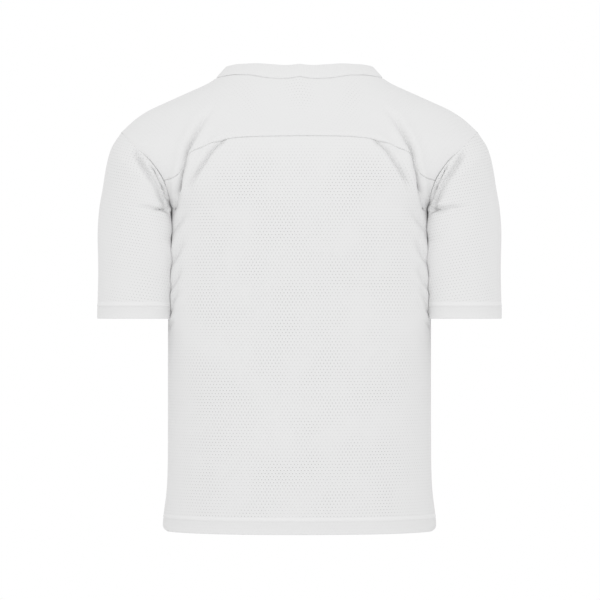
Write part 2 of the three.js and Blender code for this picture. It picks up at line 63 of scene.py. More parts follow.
# Lengths of the garment
HEM_Z = -719.2
UNDERARM_Z = -208
SHOULDER_TIP_Z = -83
ARMHOLE_HALF_DEPTH = 84
NECK_HALF_WIDTH = 133
NECK_BACK_Z = 0.7
NECK_FRONT_Z = -88
NECK_FRONT_ROUNDNESS = 0.8
TOP_OF_CONSTRUCTION_Z = 60
YOKE_SLANT = 0.17
YOKE_SLANT_ROUND = 40
YOKE_STRETCH = 1.08
SECTION_SQUARENESS = 2.3
BODY_HEM = 26
CUFF_HEM = 24

# Hems: the heights of each one's two rows of stitches, how far its edge rolls in, and how far the
# body's hem is drawn in at the side seams, over what height and width
BODY_STITCHES = (20, 26)
CUFF_STITCHES = (18.5, 24)
BODY_EDGE_ROLL = 0.2
CUFF_EDGE_ROLL = 0.1
CORNER_DEPTH = 6
CORNER_HEIGHT = 10
CORNER_WIDTH = 30

# Relief of a hem: how high its two layers lift it and where that fades, below and above the upper
# stitches; how far stitches pull it in and the strip between them is puffed, and how wide each is
HEM_LIFT = 0.5
LIFT_FADES_BELOW = 1
LIFT_FADES_ABOVE = 3
STITCH_PULL = 0.35
STITCH_WIDTH = 0.9
STRIP_PUFF = 0.3
STRIP_WIDTH = 1.6
EDGE_ROLL_WIDTH = 2.5

# How open the mesh looks, which scales the painted shade in its holes: least towards the sides,
# from one width to another, and at the panels' tops; low on the yoke but for three spots, one in
# the middle and one by each end of the collar, each given as a strength, its width and height, and half its
# size
LEAST_OPEN_AT_SIDE = 0.3
BODY_SIDE = (150, 200)
SLEEVE_SIDE = (292, 316)
LEAST_OPEN_AT_TOP = 0.2
BELOW_TOP = (5, 55)
YOKE_OPENNESS = 0.12
YOKE_SPOTS = [(0.9, (0, -26), (20, 22)), (0.4, (83, -28), (17, 24))]

# The rib collar. It stands out from the yoke by a step, with a dip at its seam, and is tucked in
# behind the yoke. It leans in by degrees, which change over the shoulders, where it is lower too.
COLLAR_HEIGHT = 27.5
COLLAR_STEP = 1.1
COLLAR_DIP = 1.4
COLLAR_TUCK_ROWS = [0.7, 2.5, 6]
COLLAR_TUCK_IN = 1.4
LEAN_AT_SEAM = 28
LEAN_AT_TOP = 48
SHOULDER_LEAN_AT_SEAM = 12
SHOULDER_LEAN_AT_TOP = -4
SHOULDER_DROP = 2.2
SHOULDER_STARTS = (22, 50)
SHOULDER_ENDS = (100, 130)
WAVE_AT_COLLAR_TOP = 0.6

# Half the width at the side seams by height, from the hem up to the underarm
SIDE_SEAM = [(-720, 218), (-690, 216), (-664, 212.6), (-640, 210.8), (-600, 209.8), (-400, 209.4),
             (-320, 208.8), (-256, 207.8), (-230, 206.6), (-208, 205)]

# The armhole's edge by height, from the underarm up to the tip of the shoulder
ARMHOLE_EDGE = [(-208, 205), (-192, 206), (-166, 213), (-134, 233), (-107, 261), (-83, 285)]

# The shoulder line by height, and on above the neck opening as a construction line
SHOULDER_LINE = [(-83, 285), (-62, 262), (-48, 240.5), (-35, 212.5), (-19, 177), (-3, 142),
                 (3, 133), (10.4, 125), (34.6, 94), (54, 45), (60, 0)]

# How far the middle of the back and of the front stand from the side seams' plane, by height
BACK_DEPTH = [(-720, 130), (-600, 126), (-450, 122), (-320, 126), (-200, 132), (-145, 128),
              (-95, 117), (-62, 100), (-35, 87), (3, 68), (60, 34)]
FRONT_DEPTH = [(-720, 133), (-600, 132), (-450, 129), (-300, 130), (-200, 128), (-160, 121),
               (-120, 111), (-85, 99), (-50, 81), (3, 55), (60, 28)]

# How flat the sides of the body are, by height: the power of the depth in a section's equation
SIDE_FLATNESS = [(-720, 2), (-520, 2.1), (-400, 3.1), (-270, 3.6), (-208, 3.4), (-150, 3),
                 (-110, 2.3), (-83, 2), (60, 2)]

# The seam between the back and the yoke: height by width, out to the armhole
BACK_YOKE_SEAM = [(0, -93), (70, -94), (101, -96), (127, -101), (156, -112), (181, -125),
                  (186, -134), (191, -150), (197, -157), (214.6, -163.04)]

# The same seam without its steep part under the fold, which the yoke's columns set out from
SMOOTH_YOKE_SEAM = [(0, -93), (70, -94), (101, -96), (127, -101), (156, -112), (181, -127),
                    (197, -145), (214.6, -163.04)]

# Sections of a sleeve from the armhole to the cuff: outer width and height, inner width and
# height, half the depth, and how flat the side by the body is. The inner side would reach into the
# body, which presses it out, so it lies along the body with a clearance.
SLEEVE_OUTER_X = [(0, 285), (1, 301.4), (2, 310), (3, 315), (4, 320), (5, 322), (6, 322.3), (7, 322.9),
                  (8, 323.2)]
SLEEVE_OUTER_Z = [(0, -83), (1, -110), (2, -141), (3, -172), (4, -208), (5, -250), (6, -305),
                  (7, -361), (8, -381)]
SLEEVE_INNER_X = [(0, 205), (1, 203), (2, 199), (3, 197), (4, 197), (5, 198), (6, 199.5), (7, 202),
                  (8, 203)]
SLEEVE_INNER_Z = [(0, -208), (1, -216), (2, -238), (3, -264), (4, -290), (5, -315), (6, -338),
                  (7, -361), (8, -381)]
SLEEVE_HALF_DEPTH = [(0, 84), (1, 85.6), (2, 84.8), (3, 83), (4, 81), (5, 78), (6, 74.4), (7, 72.4),
                     (8, 72)]
SLEEVE_FLATNESS = [(0, 1), (1, 1.2), (2, 1.36), (4, 1.4), (8, 1.36)]
SLEEVE_SQUARENESS = 0.5
SLEEVE_CLEARANCE = 0.2
CONTACT_SOFTNESS = 0.3

# Where the seams meet the armhole, in degrees around from the tip of the shoulder, and where the
# lines of the yoke that run to those meetings reach the neckline, from the middle of the back
BACK_SEAM_ANGLE = 106.3
FRONT_SEAM_ANGLE = -73.7
NECK_ANGLE_AT_BACK_SEAM = 62
NECK_ANGLE_AT_FRONT_SEAM = 122

# The gentle wave of the neckline across the back: how far it rises, by width
NECK_WAVE = [(-18, -0.5), (0, 1), (18, -0.5), (31, -1.4), (44, -1.6), (57, -1.1), (70, 0.3), (82, 1.2),
             (95, 1.3), (108, 1.5), (119, 1.2), (133, 0)]

# Folds of the body, left and right alike. side is 1 on the back and -1 on the front; path is a
# line of points by width and height; height is minus for a trough and plus for a ridge; reach is
# half its width at both ends; roll is the height of the cloth heaped on the armhole's side of it
# and lip on the other side; fade gives the shares of the path over which it begins and ends;
# lap is how far the roll leans over the trough.
BODY_FOLDS = [
    dict(side=1, path=[(128, -36), (136, -48), (149, -62.5), (160, -79.5), (167, -92.5), (174, -106.5),
                       (179, -119), (184, -142.5), (188, -155), (190, -170), (192.5, -184),
                       (197, -206), (202, -222)],
         height=-9, reach=(6, 3.4), roll=3.2, lip=1.4, fade=(0.38, 0.32), lap=1.8),
    dict(side=1, path=[(112, -97), (120, -101), (128, -106), (140.5, -119), (151, -135),
                       (161.5, -150.5), (169.5, -166), (180.5, -191.5)],
         height=-7, reach=(3.8, 3.8), roll=2.6, lip=1, fade=(0.12, 0.4), lap=1.5),
    dict(side=1, path=[(189, -166), (191.5, -176), (194, -186)],
         height=-7, reach=(3, 3), roll=0.5, lip=0.5, fade=(0.4, 0.4), lap=0.8),
    dict(side=1, path=[(172, -210), (184, -219), (193, -230), (203, -246)],
         height=-4.5, reach=(8, 5), roll=1.6, lip=2, fade=(0.5, 0.4), lap=0.5),
    dict(side=1, path=[(180, -252), (187, -264), (195, -278), (204, -298)],
         height=-6, reach=(7.5, 5), roll=3, lip=2.2, fade=(0.5, 0.35), lap=0.5),
    dict(side=1, path=[(184, -294), (191, -308), (198, -322), (206, -342)],
         height=-5, reach=(6.5, 4.6), roll=2.4, lip=1.8, fade=(0.5, 0.35), lap=0.5),
    dict(side=1, path=[(188, -328), (195, -341), (206, -362)],
         height=-4, reach=(6, 4.4), roll=2, lip=1.4, fade=(0.5, 0.4), lap=0),
    dict(side=1, path=[(196, -356), (202, -366), (208, -378)],
         height=-2.4, reach=(5, 4), roll=1, lip=0.8, fade=(0.5, 0.3), lap=0),
    dict(side=1, path=[(197, -379), (203, -387), (209, -396)],
         height=-1.8, reach=(5, 4), roll=0.8, lip=0.6, fade=(0.5, 0.3), lap=0),
    dict(side=-1, path=[(132, -44), (152, -68), (168, -94), (180, -124), (190, -158), (198, -190),
                        (203, -216)],
         height=-7.5, reach=(6, 3.5), roll=3.2, lip=1.2, fade=(0.55, 0.12), lap=2),
    dict(side=-1, path=[(112, -124), (136, -144), (156, -168), (172, -196), (186, -222)],
         height=-5, reach=(5, 4.5), roll=2.4, lip=1, fade=(0.3, 0.4), lap=1),
    dict(side=-1, path=[(156, -214), (182, -232), (204, -252)],
         height=-4.5, reach=(7, 5), roll=2.2, lip=1.2, fade=(0.6, 0.1), lap=0),
    dict(side=-1, path=[(160, -262), (186, -284), (206, -302)],
         height=-3.6, reach=(7, 5), roll=1.8, lip=1, fade=(0.6, 0.1), lap=0),
    dict(side=-1, path=[(178, -322), (194, -338), (209, -352)],
         height=-3, reach=(7, 5), roll=1.6, lip=0.8, fade=(0.6, 0.1), lap=0),
]

# Folds of a sleeve. Points are sections from the armhole, and degrees around from the outer side,
# plus towards the back and minus towards the front.
SLEEVE_FOLDS = [
    dict(turn=-1, path=[(0.16, 78), (0.14, 86), (0.2, 95), (0.24, 105), (0.2, 113), (0.17, 122),
                        (0.2, 134), (0.36, 144)],
         height=-7.5, reach=(2.2, 3), roll=0.8, lip=0.4, fade=(0.12, 0.3), lap=0.8),
    dict(turn=-1, path=[(0.1, 48), (0.32, 64), (0.48, 78), (0.55, 95), (0.56, 110), (0.68, 128),
                        (0.75, 142)],
         height=-9.5, reach=(3.4, 6), roll=1.4, lip=0.6, fade=(0.22, 0.1), lap=0),
    dict(turn=-1, path=[(0.19, 111), (0.16, 117), (0.13, 123)],
         height=-4, reach=(2.8, 2.8), roll=0, lip=0, fade=(0.35, 0.35), lap=0),
    dict(turn=-1, path=[(1.16, 144), (1.5, 130), (1.83, 118), (2.13, 108), (2.49, 92), (2.85, 78),
                        (3.21, 60)],
         height=-9, reach=(3.6, 2.2), roll=0.6, lip=0.6, fade=(0.06, 0.85), lap=0.5),
    dict(turn=-1, path=[(1.05, 149), (1.3, 139), (1.75, 121)],
         height=-6, reach=(4.5, 2), roll=0, lip=0, fade=(0.15, 0.6), lap=0),
    dict(turn=-1, path=[(0.4, 158), (0.8, 152), (1.4, 149), (2.3, 147)],
         height=3.2, reach=(5, 6), roll=0, lip=0, fade=(0.3, 0.5), lap=0),
    dict(turn=-1, path=[(2.2, 176), (3, 142), (3.8, 104)],
         height=-1.6, reach=(8, 10), roll=0.8, lip=0.6, fade=(0.2, 0.5), lap=0),
    dict(turn=1, path=[(0.15, -62), (0.2, -78), (0.22, -96), (0.2, -118), (0.24, -138), (0.7, -160)],
         height=-6, reach=(2.6, 3.2), roll=0.8, lip=0.5, fade=(0.2, 0.1), lap=0.6),
    dict(turn=1, path=[(0.16, -46), (0.42, -66), (0.6, -92), (0.66, -116), (0.8, -138)],
         height=-3.6, reach=(4, 6.5), roll=1, lip=0.4, fade=(0.3, 0.1), lap=0),
    dict(turn=1, path=[(0.95, -154), (1.4, -136), (1.9, -116), (2.4, -94), (2.9, -72)],
         height=-6, reach=(4.6, 3.2), roll=0.8, lip=0.8, fade=(0.05, 0.85), lap=0.5),
    dict(turn=1, path=[(2.4, -174), (3.2, -138), (4, -98)],
         height=-1.8, reach=(8, 12), roll=0.8, lip=0.6, fade=(0.2, 0.5), lap=0),
]

# The cloth's slack dies away towards the seams. A sleeve's folds begin within a share of its first
# section, and it is pressed clear of the body over another share.
SLACK_FADE = 30
FOLDS_BEGIN = 0.13
PRESSED_FROM = 0.4
LEAST_ACROSS = 0.5

# A fold across: how sharp its trough is, and where its roll and lip lie and how wide they are, in
# half widths of the fold; points further out than its range don't move
TROUGH_SHARPNESS = 1.7
ROLL_PLACE = 2.2
LIP_PLACE = -2.2
ROLL_SPREAD = 1.5
FOLD_RANGE = 6

# How finely each piece is divided
HALF_BACK_COLUMNS = 112
HALF_NECK_FRONT_COLUMNS = 32
HALF_FRONT_SEAM_COLUMNS = 48
YOKE_ARMHOLE_COLUMNS = 64
YOKE_ROWS = 62
SLEEVE_COLUMNS = 176
COLLAR_ROWS = 16
LEAN_STEPS = 200
FOLD_STEPS = 24
ROUND_ROWS = 6
DRAWN_ROWS = 6
HALVING_ROUNDS = 40
NORMAL_STEP = 0.5
TINY = 1e-9

# Rows of a body panel: close at the hem, evenly spaced over the lower half, closer and closer by a
# power up the flank, and then along the armhole, on the back (1) and the front (-1). They are level
# below one height and follow the panel's top edge above the start of the flank.
HEM_ROWS = [0, 0.8, 1.8, 3, 4.5, 7, 10, 13, 16, 18, 19.2, 20, 20.8, 22, 23, 24, 25.2, 26, 26.8, 28,
            30, 33]
LOW_ROWS_Z = -682
LOW_ROW_STEP = 5.4
LEVEL_ROWS_Z = -640
FLANK_Z = -420
FLANK_ROWS = 93
FLANK_CROWDING = 1.2
ARMHOLE_ROWS = {1: 30, -1: 36}

# Rows of a sleeve: millimetres up from the cuff's edge, which is at the last section, and then
# stretches from one section to another with their number of rows
CUFF_ROWS = [0, 0.8, 1.8, 3, 4.5, 6.5, 9, 12, 15, 17, 18, 18.8, 19.6]
CUFF_SECTION = 8
LAST_SECTION_LENGTH = 20
SLEEVE_STRETCHES = [(7, 6.76, 13), (6.7, 1.2, 74), (1.2, 0, 28)]


def smooth_table(rows):
    """A smooth function through (place, value) rows that never overshoots them: between each two
    rows a cubic, whose slope at a row is the weighted harmonic mean of the chords beside it."""
    at, value = np.array(rows, float).T
    span = np.diff(at)
    chord = np.diff(value) / span
    before, after = span[:-1], span[1:]
    weight_before = 2 * after + before
    weight_after = after + 2 * before
    agree = chord[:-1] * chord[1:] > 0
    left = np.where(agree, chord[:-1], 1)
    right = np.where(agree, chord[1:], 1)
    mean = (weight_before + weight_after) / (weight_before / left + weight_after / right)
    slope = np.concatenate([chord[:1], np.where(agree, mean, 0), chord[-1:]])

    def look_up(where):
        where = np.asarray(where, float)
        i = np.clip(np.searchsorted(at, where, side="right") - 1, 0, len(span) - 1)
        t = np.clip((where - at[i]) / span[i], 0, 1)
        rise = t * t * (3 - 2 * t)
        bend = span[i] * (slope[i] * t * (1 - t) ** 2 - slope[i + 1] * t * t * (1 - t))
        return value[i] * (1 - rise) + value[i + 1] * rise + bend

    return look_up


def smooth_step(low, high, value):
    """0 below low, 1 above high, and 3t^2 - 2t^3 between them."""
    t = np.clip((value - low) / (high - low), 0, 1)
    return t * t * (3 - 2 * t)


def mix(start, end, share):
    """A share of the way from start to end."""
    return start + (end - start) * share


def bell(distance, width):
    """exp(-(distance / width)^2), which is 1 at no distance and dies away over a width."""
    return np.exp(-(distance / width) ** 2)


def summed(steps, axis=0):
    """Running sums of steps along an axis, from 0 at its first point."""
    return np.insert(np.cumsum(steps, axis=axis), 0, 0, axis=axis)


def lengths(points, axis=0):
    """Length along a grid's columns, axis 0, or its rows, axis 1, from their first point."""
    return summed(np.linalg.norm(np.diff(points, axis=axis), axis=-1), axis)


side_seam_x = smooth_table(SIDE_SEAM)
armhole_x = smooth_table(ARMHOLE_EDGE)
shoulder_x = smooth_table(SHOULDER_LINE)
back_depth = smooth_table(BACK_DEPTH)
front_depth = smooth_table(FRONT_DEPTH)
side_flatness = smooth_table(SIDE_FLATNESS)
back_seam_z = smooth_table(BACK_YOKE_SEAM)
smooth_seam_z = smooth_table(SMOOTH_YOKE_SEAM)
neck_wave = smooth_table(NECK_WAVE)
sleeve_outer_x = smooth_table(SLEEVE_OUTER_X)
sleeve_outer_z = smooth_table(SLEEVE_OUTER_Z)
sleeve_inner_x = smooth_table(SLEEVE_INNER_X)
sleeve_inner_z = smooth_table(SLEEVE_INNER_Z)
sleeve_half_depth = smooth_table(SLEEVE_HALF_DEPTH)
sleeve_flatness = smooth_table(SLEEVE_FLATNESS)

ARMHOLE_MIDDLE_Z = (UNDERARM_Z + SHOULDER_TIP_Z) / 2
ARMHOLE_HALF_HEIGHT = (SHOULDER_TIP_Z - UNDERARM_Z) / 2
NECK_BACK_CROWN = np.sqrt(TOP_OF_CONSTRUCTION_Z - NECK_BACK_Z)
NECK_FRONT_CROWN = np.sqrt(TOP_OF_CONSTRUCTION_Z - NECK_FRONT_Z)


# The form of the body

def armhole_z(degrees):
    """Height on the armhole's edge: its middle plus its half height times the angle's cosine."""
    return ARMHOLE_MIDDLE_Z + ARMHOLE_HALF_HEIGHT * np.cos(np.radians(degrees))


def edge_x(z):
    """Half the width of the body's cloth at a height, out to its seam, armhole or shoulder line."""
    upper = np.where(z <= SHOULDER_TIP_Z, armhole_x(z), shoulder_x(z))
    return np.where(z <= UNDERARM_Z, side_seam_x(z), upper)


def edge_depth(z):
    """Depth of the cloth's edge: half an ellipse where the armhole stands open, else nothing."""
    from_middle = (z - ARMHOLE_MIDDLE_Z) / ARMHOLE_HALF_HEIGHT
    return ARMHOLE_HALF_DEPTH * np.sqrt(np.maximum(0, 1 - from_middle ** 2))


def middle_depth(z, side):
    """Depth of the middle of the back, side 1, or of the front, side -1."""
    return np.where(side > 0, back_depth(z), front_depth(z))


def section_x(z, side):
    """Half the width that a section would have if it ran on past the armhole."""
    cut_off = (edge_depth(z) / middle_depth(z, side)) ** side_flatness(z)
    return edge_x(z) / (1 - cut_off) ** (1 / SECTION_SQUARENESS)


def body_point(x, z, side):
    """A point of the body: |x / half width| ^ squareness + |y / depth| ^ flatness = 1."""
    across = np.minimum(1, np.abs(x) / section_x(z, side)) ** SECTION_SQUARENESS
    y = side * middle_depth(z, side) * (1 - across) ** (1 / side_flatness(z))
    return np.stack(np.broadcast_arrays(x, y, z), -1)


def body_normal(point, side):
    """The way out of the body: how the section's equation grows along each axis, made length 1."""
    def fullness(shift):
        x, y, z = np.moveaxis(point + shift, -1, 0)
        width = (np.abs(x) / section_x(z, side)) ** SECTION_SQUARENESS
        return width + (np.abs(y) / middle_depth(z, side)) ** side_flatness(z)

    steps = NORMAL_STEP * np.eye(3)
    way = np.stack([fullness(step) - fullness(-step) for step in steps], -1)
    return way / np.linalg.norm(way, axis=-1, keepdims=True)


def shoulder_z(x):
    """Height of the shoulder line at a width, found by halving."""
    width = np.abs(x)
    low = np.full(width.shape, float(SHOULDER_TIP_Z))
    high = np.full(width.shape, float(TOP_OF_CONSTRUCTION_Z))
    for _ in range(HALVING_ROUNDS):
        middle = (low + high) / 2
        wider = shoulder_x(middle) > width
        low = np.where(wider, middle, low)
        high = np.where(wider, high, middle)
    return (low + high) / 2


def crown_at(x, z, side):
    """The crown: the square root of the drop below the shoulder line, minus on the front."""
    return side * np.sqrt(np.maximum(0, shoulder_z(x) - z))


def neck_place(degrees):
    """Width and crown on the neckline, by degrees around from the middle of the back."""
    cosine = np.cos(np.radians(degrees))
    front = -NECK_FRONT_CROWN * np.abs(cosine) ** NECK_FRONT_ROUNDNESS
    crown = np.where(cosine < 0, front, NECK_BACK_CROWN * cosine)
    return NECK_HALF_WIDTH * np.sin(np.radians(degrees)), crown


# Folds

def curve_through(points, steps):
    """A smooth line through points, by the length of the chords between them."""
    points = np.array(points, float)
    chord = lengths(points)
    share = np.linspace(0, chord[-1], steps + 1)
    return [smooth_table(np.column_stack([chord, column]))(share) for column in points.T]


def fold_push(points, normals, line, turn, fold):
    """How far one fold moves each point. Across the fold, at s half widths from its line, it is
    height * exp(-|s|^1.7) + roll * exp(-((s - 2.2) / 1.5)^2) + lip * exp(-((s + 2.2) / 1.5)^2) along
    the normal, and lap * exp(-(s - 1)^2) back over the trough; both fade in and out along the line."""
    move = np.zeros_like(points)
    limit = FOLD_RANGE * max(fold["reach"])
    inside = np.all((points > line.min(0) - limit) & (points < line.max(0) + limit), axis=1)
    near = points[inside]
    if not len(near):
        return move
    out = normals[inside]
    best = np.full(len(near), np.inf)
    along = np.zeros(len(near))
    sideways = np.zeros_like(near)
    for number, (start, end) in enumerate(zip(line[:-1], line[1:])):
        heading = end - start
        offset = near - start
        t = np.clip(offset @ heading / (heading @ heading), 0, 1)
        offset -= t[:, None] * heading
        distance = np.linalg.norm(offset, axis=1)
        closer = distance < best
        best[closer] = distance[closer]
        along[closer] = (number + t[closer]) / (len(line) - 1)
        sideways[closer] = np.cross(out[closer], heading) * -turn
    sideways /= np.maximum(np.linalg.norm(sideways, axis=1, keepdims=True), TINY)
    offset = near - nearest_on(line, along)
    side = np.sign(np.sum(offset * sideways, axis=1))
    reach = mix(*fold["reach"], along)
    s = side * best / reach
    fade_in, fade_out = fold["fade"]
    fade = smooth_step(0, fade_in, along) * smooth_step(0, fade_out, 1 - along)
    height = fold["height"] * np.exp(-np.abs(s) ** TROUGH_SHARPNESS)
    height += fold["roll"] * np.exp(-((s - ROLL_PLACE) / ROLL_SPREAD) ** 2)
    height += fold["lip"] * np.exp(-((s - LIP_PLACE) / ROLL_SPREAD) ** 2)
    lean = -fold["lap"] * np.exp(-(s - 1) ** 2)
    height, lean = height * fade, lean * fade
    cut = best < FOLD_RANGE * reach
    move[inside] = cut[:, None] * (height[:, None] * out + lean[:, None] * sideways)
    return move


def nearest_on(line, along):
    """The points of a line at shares of its steps."""
    place = along * (len(line) - 1)
    number = np.minimum(place.astype(int), len(line) - 2)
    return mix(line[number], line[number + 1], (place - number)[:, None])


def body_lines():
    """Every fold of the body as (line, turn, fold), made on the left and mirrored to the right."""
    made = []
    for fold in BODY_FOLDS:
        x, z = curve_through(fold["path"], FOLD_STEPS)
        for mirror in (1, -1):
            line = body_point(mirror * x, z, fold["side"])
            made.append((line, mirror * fold["side"], fold))
    return made


BODY_LINES = body_lines()


def slack(point):
    """The cloth's slow rise and fall over the whole body: three long waves, 0.6, 0.5 and 0.4 mm
    high, that cross at different slants and so never repeat."""
    x, y, z = np.moveaxis(point, -1, 0)
    wave = 0.6 * np.sin(x / 47 + 1.3 * np.sin(z / 83)) * np.sin(z / 61 + 0.8)
    wave += 0.5 * np.sin(x / 29 - z / 71 + 2.1 * np.sign(y))
    return wave + 0.4 * np.sin(z / 23 + x / 90 + 1.7)


def creased(x, z, side):
    """Points of the body with its slack and its folds pressed in."""
    base = body_point(x, z, side)
    normal = body_normal(base, side)
    points, normals = base.reshape(-1, 3), normal.reshape(-1, 3)
    away_from_edges = smooth_step(0, SLACK_FADE, edge_x(points[:, 2]) - np.abs(points[:, 0]))
    move = normals * (slack(points) * away_from_edges)[:, None]
    for line, turn, fold in BODY_LINES:
        move += fold_push(points, normals, line, turn, fold)
    return (points + move).reshape(base.shape)


# Grids of cloth. Each grid's rows run from its finished edge or outer edge to a seam, and its
# columns so that across times up points out of the cloth.

def edge_angle(z, side):
    """The angle at which a section's edge stands, seen from its middle."""
    return np.arcsin(np.minimum(1, edge_x(z) / section_x(z, side)))


def panel_places(top_x, top_z, corner_z, side, edge_rows):
    """Widths and heights of a body panel. Its columns hang from the top edge down to the hem at a
    constant share of the section, and its rows are level near the hem and follow the top edge."""
    angle = edge_angle(corner_z, side)
    share = np.arcsin(np.clip(top_x / section_x(corner_z, side), -1, 1)) / angle
    share[[0, -1]] = np.sign(top_x[[0, -1]])
    rise = ((edge_rows - HEM_Z) / (corner_z - HEM_Z))[:, None]
    follow = smooth_step(LEVEL_ROWS_Z, FLANK_Z, edge_rows)[:, None]
    hanging = mix(HEM_Z, top_z[None, :], rise)
    z = mix(edge_rows[:, None] + 0 * top_z, hanging, follow)
    section = np.minimum(z, corner_z)
    x = section_x(section, side) * np.sin(share * edge_angle(section, side))
    x[-1], z[-1] = top_x, top_z
    return x, z


def body_rows(angles):
    """Heights of a panel's rows at its edge, from the hem up to the given angles of the armhole."""
    hem = HEM_Z + np.array(HEM_ROWS)
    low = np.arange(LOW_ROWS_Z, FLANK_Z, LOW_ROW_STEP)
    flank = UNDERARM_Z - (UNDERARM_Z - FLANK_Z) * np.linspace(1, 0, FLANK_ROWS) ** FLANK_CROWDING
    return np.concatenate([hem, low, flank[:-1], armhole_z(angles)])


def crowded(share):
    """A factor that brings shares of a width closer together towards its ends: 1.4 - 0.4 |share|."""
    return 1.4 - 0.4 * np.abs(share)


def back_top():
    """The back's top edge, from the left armhole to the right one, closer by the armholes."""
    f = np.linspace(1, -1, 2 * HALF_BACK_COLUMNS + 1)
    corner_z = armhole_z(BACK_SEAM_ANGLE)
    x = armhole_x(corner_z) * f * crowded(f)
    z = back_seam_z(np.abs(x))
    z[0] = z[-1] = corner_z
    return x, z


def yoke_left():
    """The left half of the yoke: width, height and side. Its columns are straight in width and
    crown from the outer edge, which is the smooth back seam and then the armhole, to the neckline,
    and what the true seam differs by dies away above it as (1 - share)^3."""
    f = np.linspace(0, 1, HALF_BACK_COLUMNS + 1)
    corner_z = armhole_z(BACK_SEAM_ANGLE)
    seam_x = armhole_x(corner_z) * f * crowded(f)
    seam_z = smooth_seam_z(seam_x)
    seam_z[-1] = corner_z
    g = np.linspace(0, 1, YOKE_ARMHOLE_COLUMNS + 1)[1:]
    degrees = mix(BACK_SEAM_ANGLE, FRONT_SEAM_ANGLE, g)
    hole_z = armhole_z(degrees)
    hole_x = armhole_x(hole_z)
    outer_x = np.concatenate([seam_x, hole_x])
    outer_crown = np.concatenate([crown_at(seam_x, seam_z, 1),
                                  crown_at(hole_x, hole_z, np.sign(np.sin(np.radians(degrees))))])
    neck_angle = np.concatenate([NECK_ANGLE_AT_BACK_SEAM * f,
                                 mix(NECK_ANGLE_AT_BACK_SEAM, NECK_ANGLE_AT_FRONT_SEAM, g)])
    neck_x, neck_crown = neck_place(neck_angle)
    share = close_ends(YOKE_ROWS)[:, None]
    x = mix(outer_x, neck_x, share)
    crown = mix(outer_crown, neck_crown, share)
    true_crown = crown_at(seam_x[:-1], back_seam_z(seam_x[:-1]), 1)
    crown[:, :len(f) - 1] += (true_crown - outer_crown[:len(f) - 1]) * (1 - share) ** 3
    return x, shoulder_z(x) - crown ** 2, np.where(crown >= 0, 1, -1), neck_angle


def close_ends(count):
    """Shares from 0 to 1 that lie closer together near both ends: t - 0.11 sin(2 pi t)."""
    t = np.linspace(0, 1, count + 1)
    return t - 0.11 * np.sin(2 * np.pi * t)


def yoke_grid():
    """The yoke over both shoulders, with the neckline's wave dying away below it as share^5. On the
    flat cloth its places run across by width and up by length over the shoulder line, and slant up
    towards the sleeves along sqrt(x^2 + round^2)."""
    x, z, side, neck_angle = yoke_left()
    x = np.concatenate([x[:, :0:-1], -x], axis=1)
    z = np.concatenate([z[:, :0:-1], z], axis=1)
    side = np.concatenate([side[:, :0:-1], side], axis=1)
    points = creased(x, z, side)
    share = close_ends(YOKE_ROWS)[:, None]
    points[..., 2] += neck_wave(np.abs(x[-1])) * (side[-1] > 0) * share ** 5
    base = body_point(x, z, side)
    over = np.sqrt(base[..., 1] ** 2 + (shoulder_z(x) - z) ** 2) * side
    slant = YOKE_SLANT * (np.sqrt(x ** 2 + YOKE_SLANT_ROUND ** 2) - YOKE_SLANT_ROUND)
    return points, np.stack([-x * YOKE_STRETCH, slant - over], -1)


def front_top():
    """The front's top edge, from the right armhole up one seam, round the neck and down."""
    x, z, _, _ = yoke_left()
    share = np.linspace(0, 1, HALF_FRONT_SEAM_COLUMNS + 1)
    rows = close_ends(YOKE_ROWS)
    seam_x = np.interp(share, rows, x[:, -1])
    seam_crown = np.interp(share, rows, crown_at(x[:, -1], z[:, -1], -1))
    neck_x, neck_crown = neck_place(np.linspace(NECK_ANGLE_AT_FRONT_SEAM, 180,
                                                HALF_NECK_FRONT_COLUMNS + 1)[1:])
    neck_x[-1] = 0
    half_x = np.concatenate([seam_x, neck_x])
    half_z = shoulder_z(half_x) - np.concatenate([seam_crown, neck_crown]) ** 2
    half_z[0] = armhole_z(FRONT_SEAM_ANGLE)
    return np.concatenate([-half_x, half_x[-2::-1]]), np.concatenate([half_z, half_z[-2::-1]])


def plan_length(points):
    """Length along each row in plan, counted from the row's middle column."""
    length = lengths(points[..., :2], 1)
    return length - length[:, length.shape[1] // 2][:, None]


def panel(top, corner_angle, side):
    """A body panel's grid of points and its places on the flat cloth."""
    angles = mix(180, corner_angle % 360, np.linspace(0, 1, ARMHOLE_ROWS[side]))
    corner_z = armhole_z(corner_angle)
    x, z = panel_places(*top, corner_z, side, body_rows(angles))
    points = creased(x, z, side)
    flat = np.stack([plan_length(body_point(x, z, side)), z - HEM_Z], -1)
    return points, flat


def sleeve_point(section, degrees):
    """A point of the left sleeve: an ellipse through its outer and inner sides, whose share out
    from the inner side, (1 + cos) / 2, is raised to a power that flattens it by the body, where
    the sine is also raised to a smaller power, which makes its corners squarer. It is
    pressed out of the body's way, and little by little, from the armhole to the first section."""
    round_out = (1 + np.cos(np.radians(degrees))) / 2
    out = round_out ** sleeve_flatness(section)
    x = mix(sleeve_inner_x(section), sleeve_outer_x(section), out)
    z = mix(sleeve_inner_z(section), sleeve_outer_z(section), round_out)
    at_armhole = np.maximum(0, 1 - section)
    edge = armhole_x(armhole_z(degrees)) - mix(ARMHOLE_EDGE[0][1], ARMHOLE_EDGE[-1][1], round_out)
    sine = np.sin(np.radians(degrees))
    squarer = 1 - SLEEVE_SQUARENESS * (1 - round_out) * smooth_step(0, 1, section)
    y = sleeve_half_depth(section) * np.sign(sine) * np.abs(sine) ** squarer
    point = np.stack(np.broadcast_arrays(x + edge * at_armhole, y, z), -1)
    return pressed_out(point, smooth_step(0, PRESSED_FROM, section))


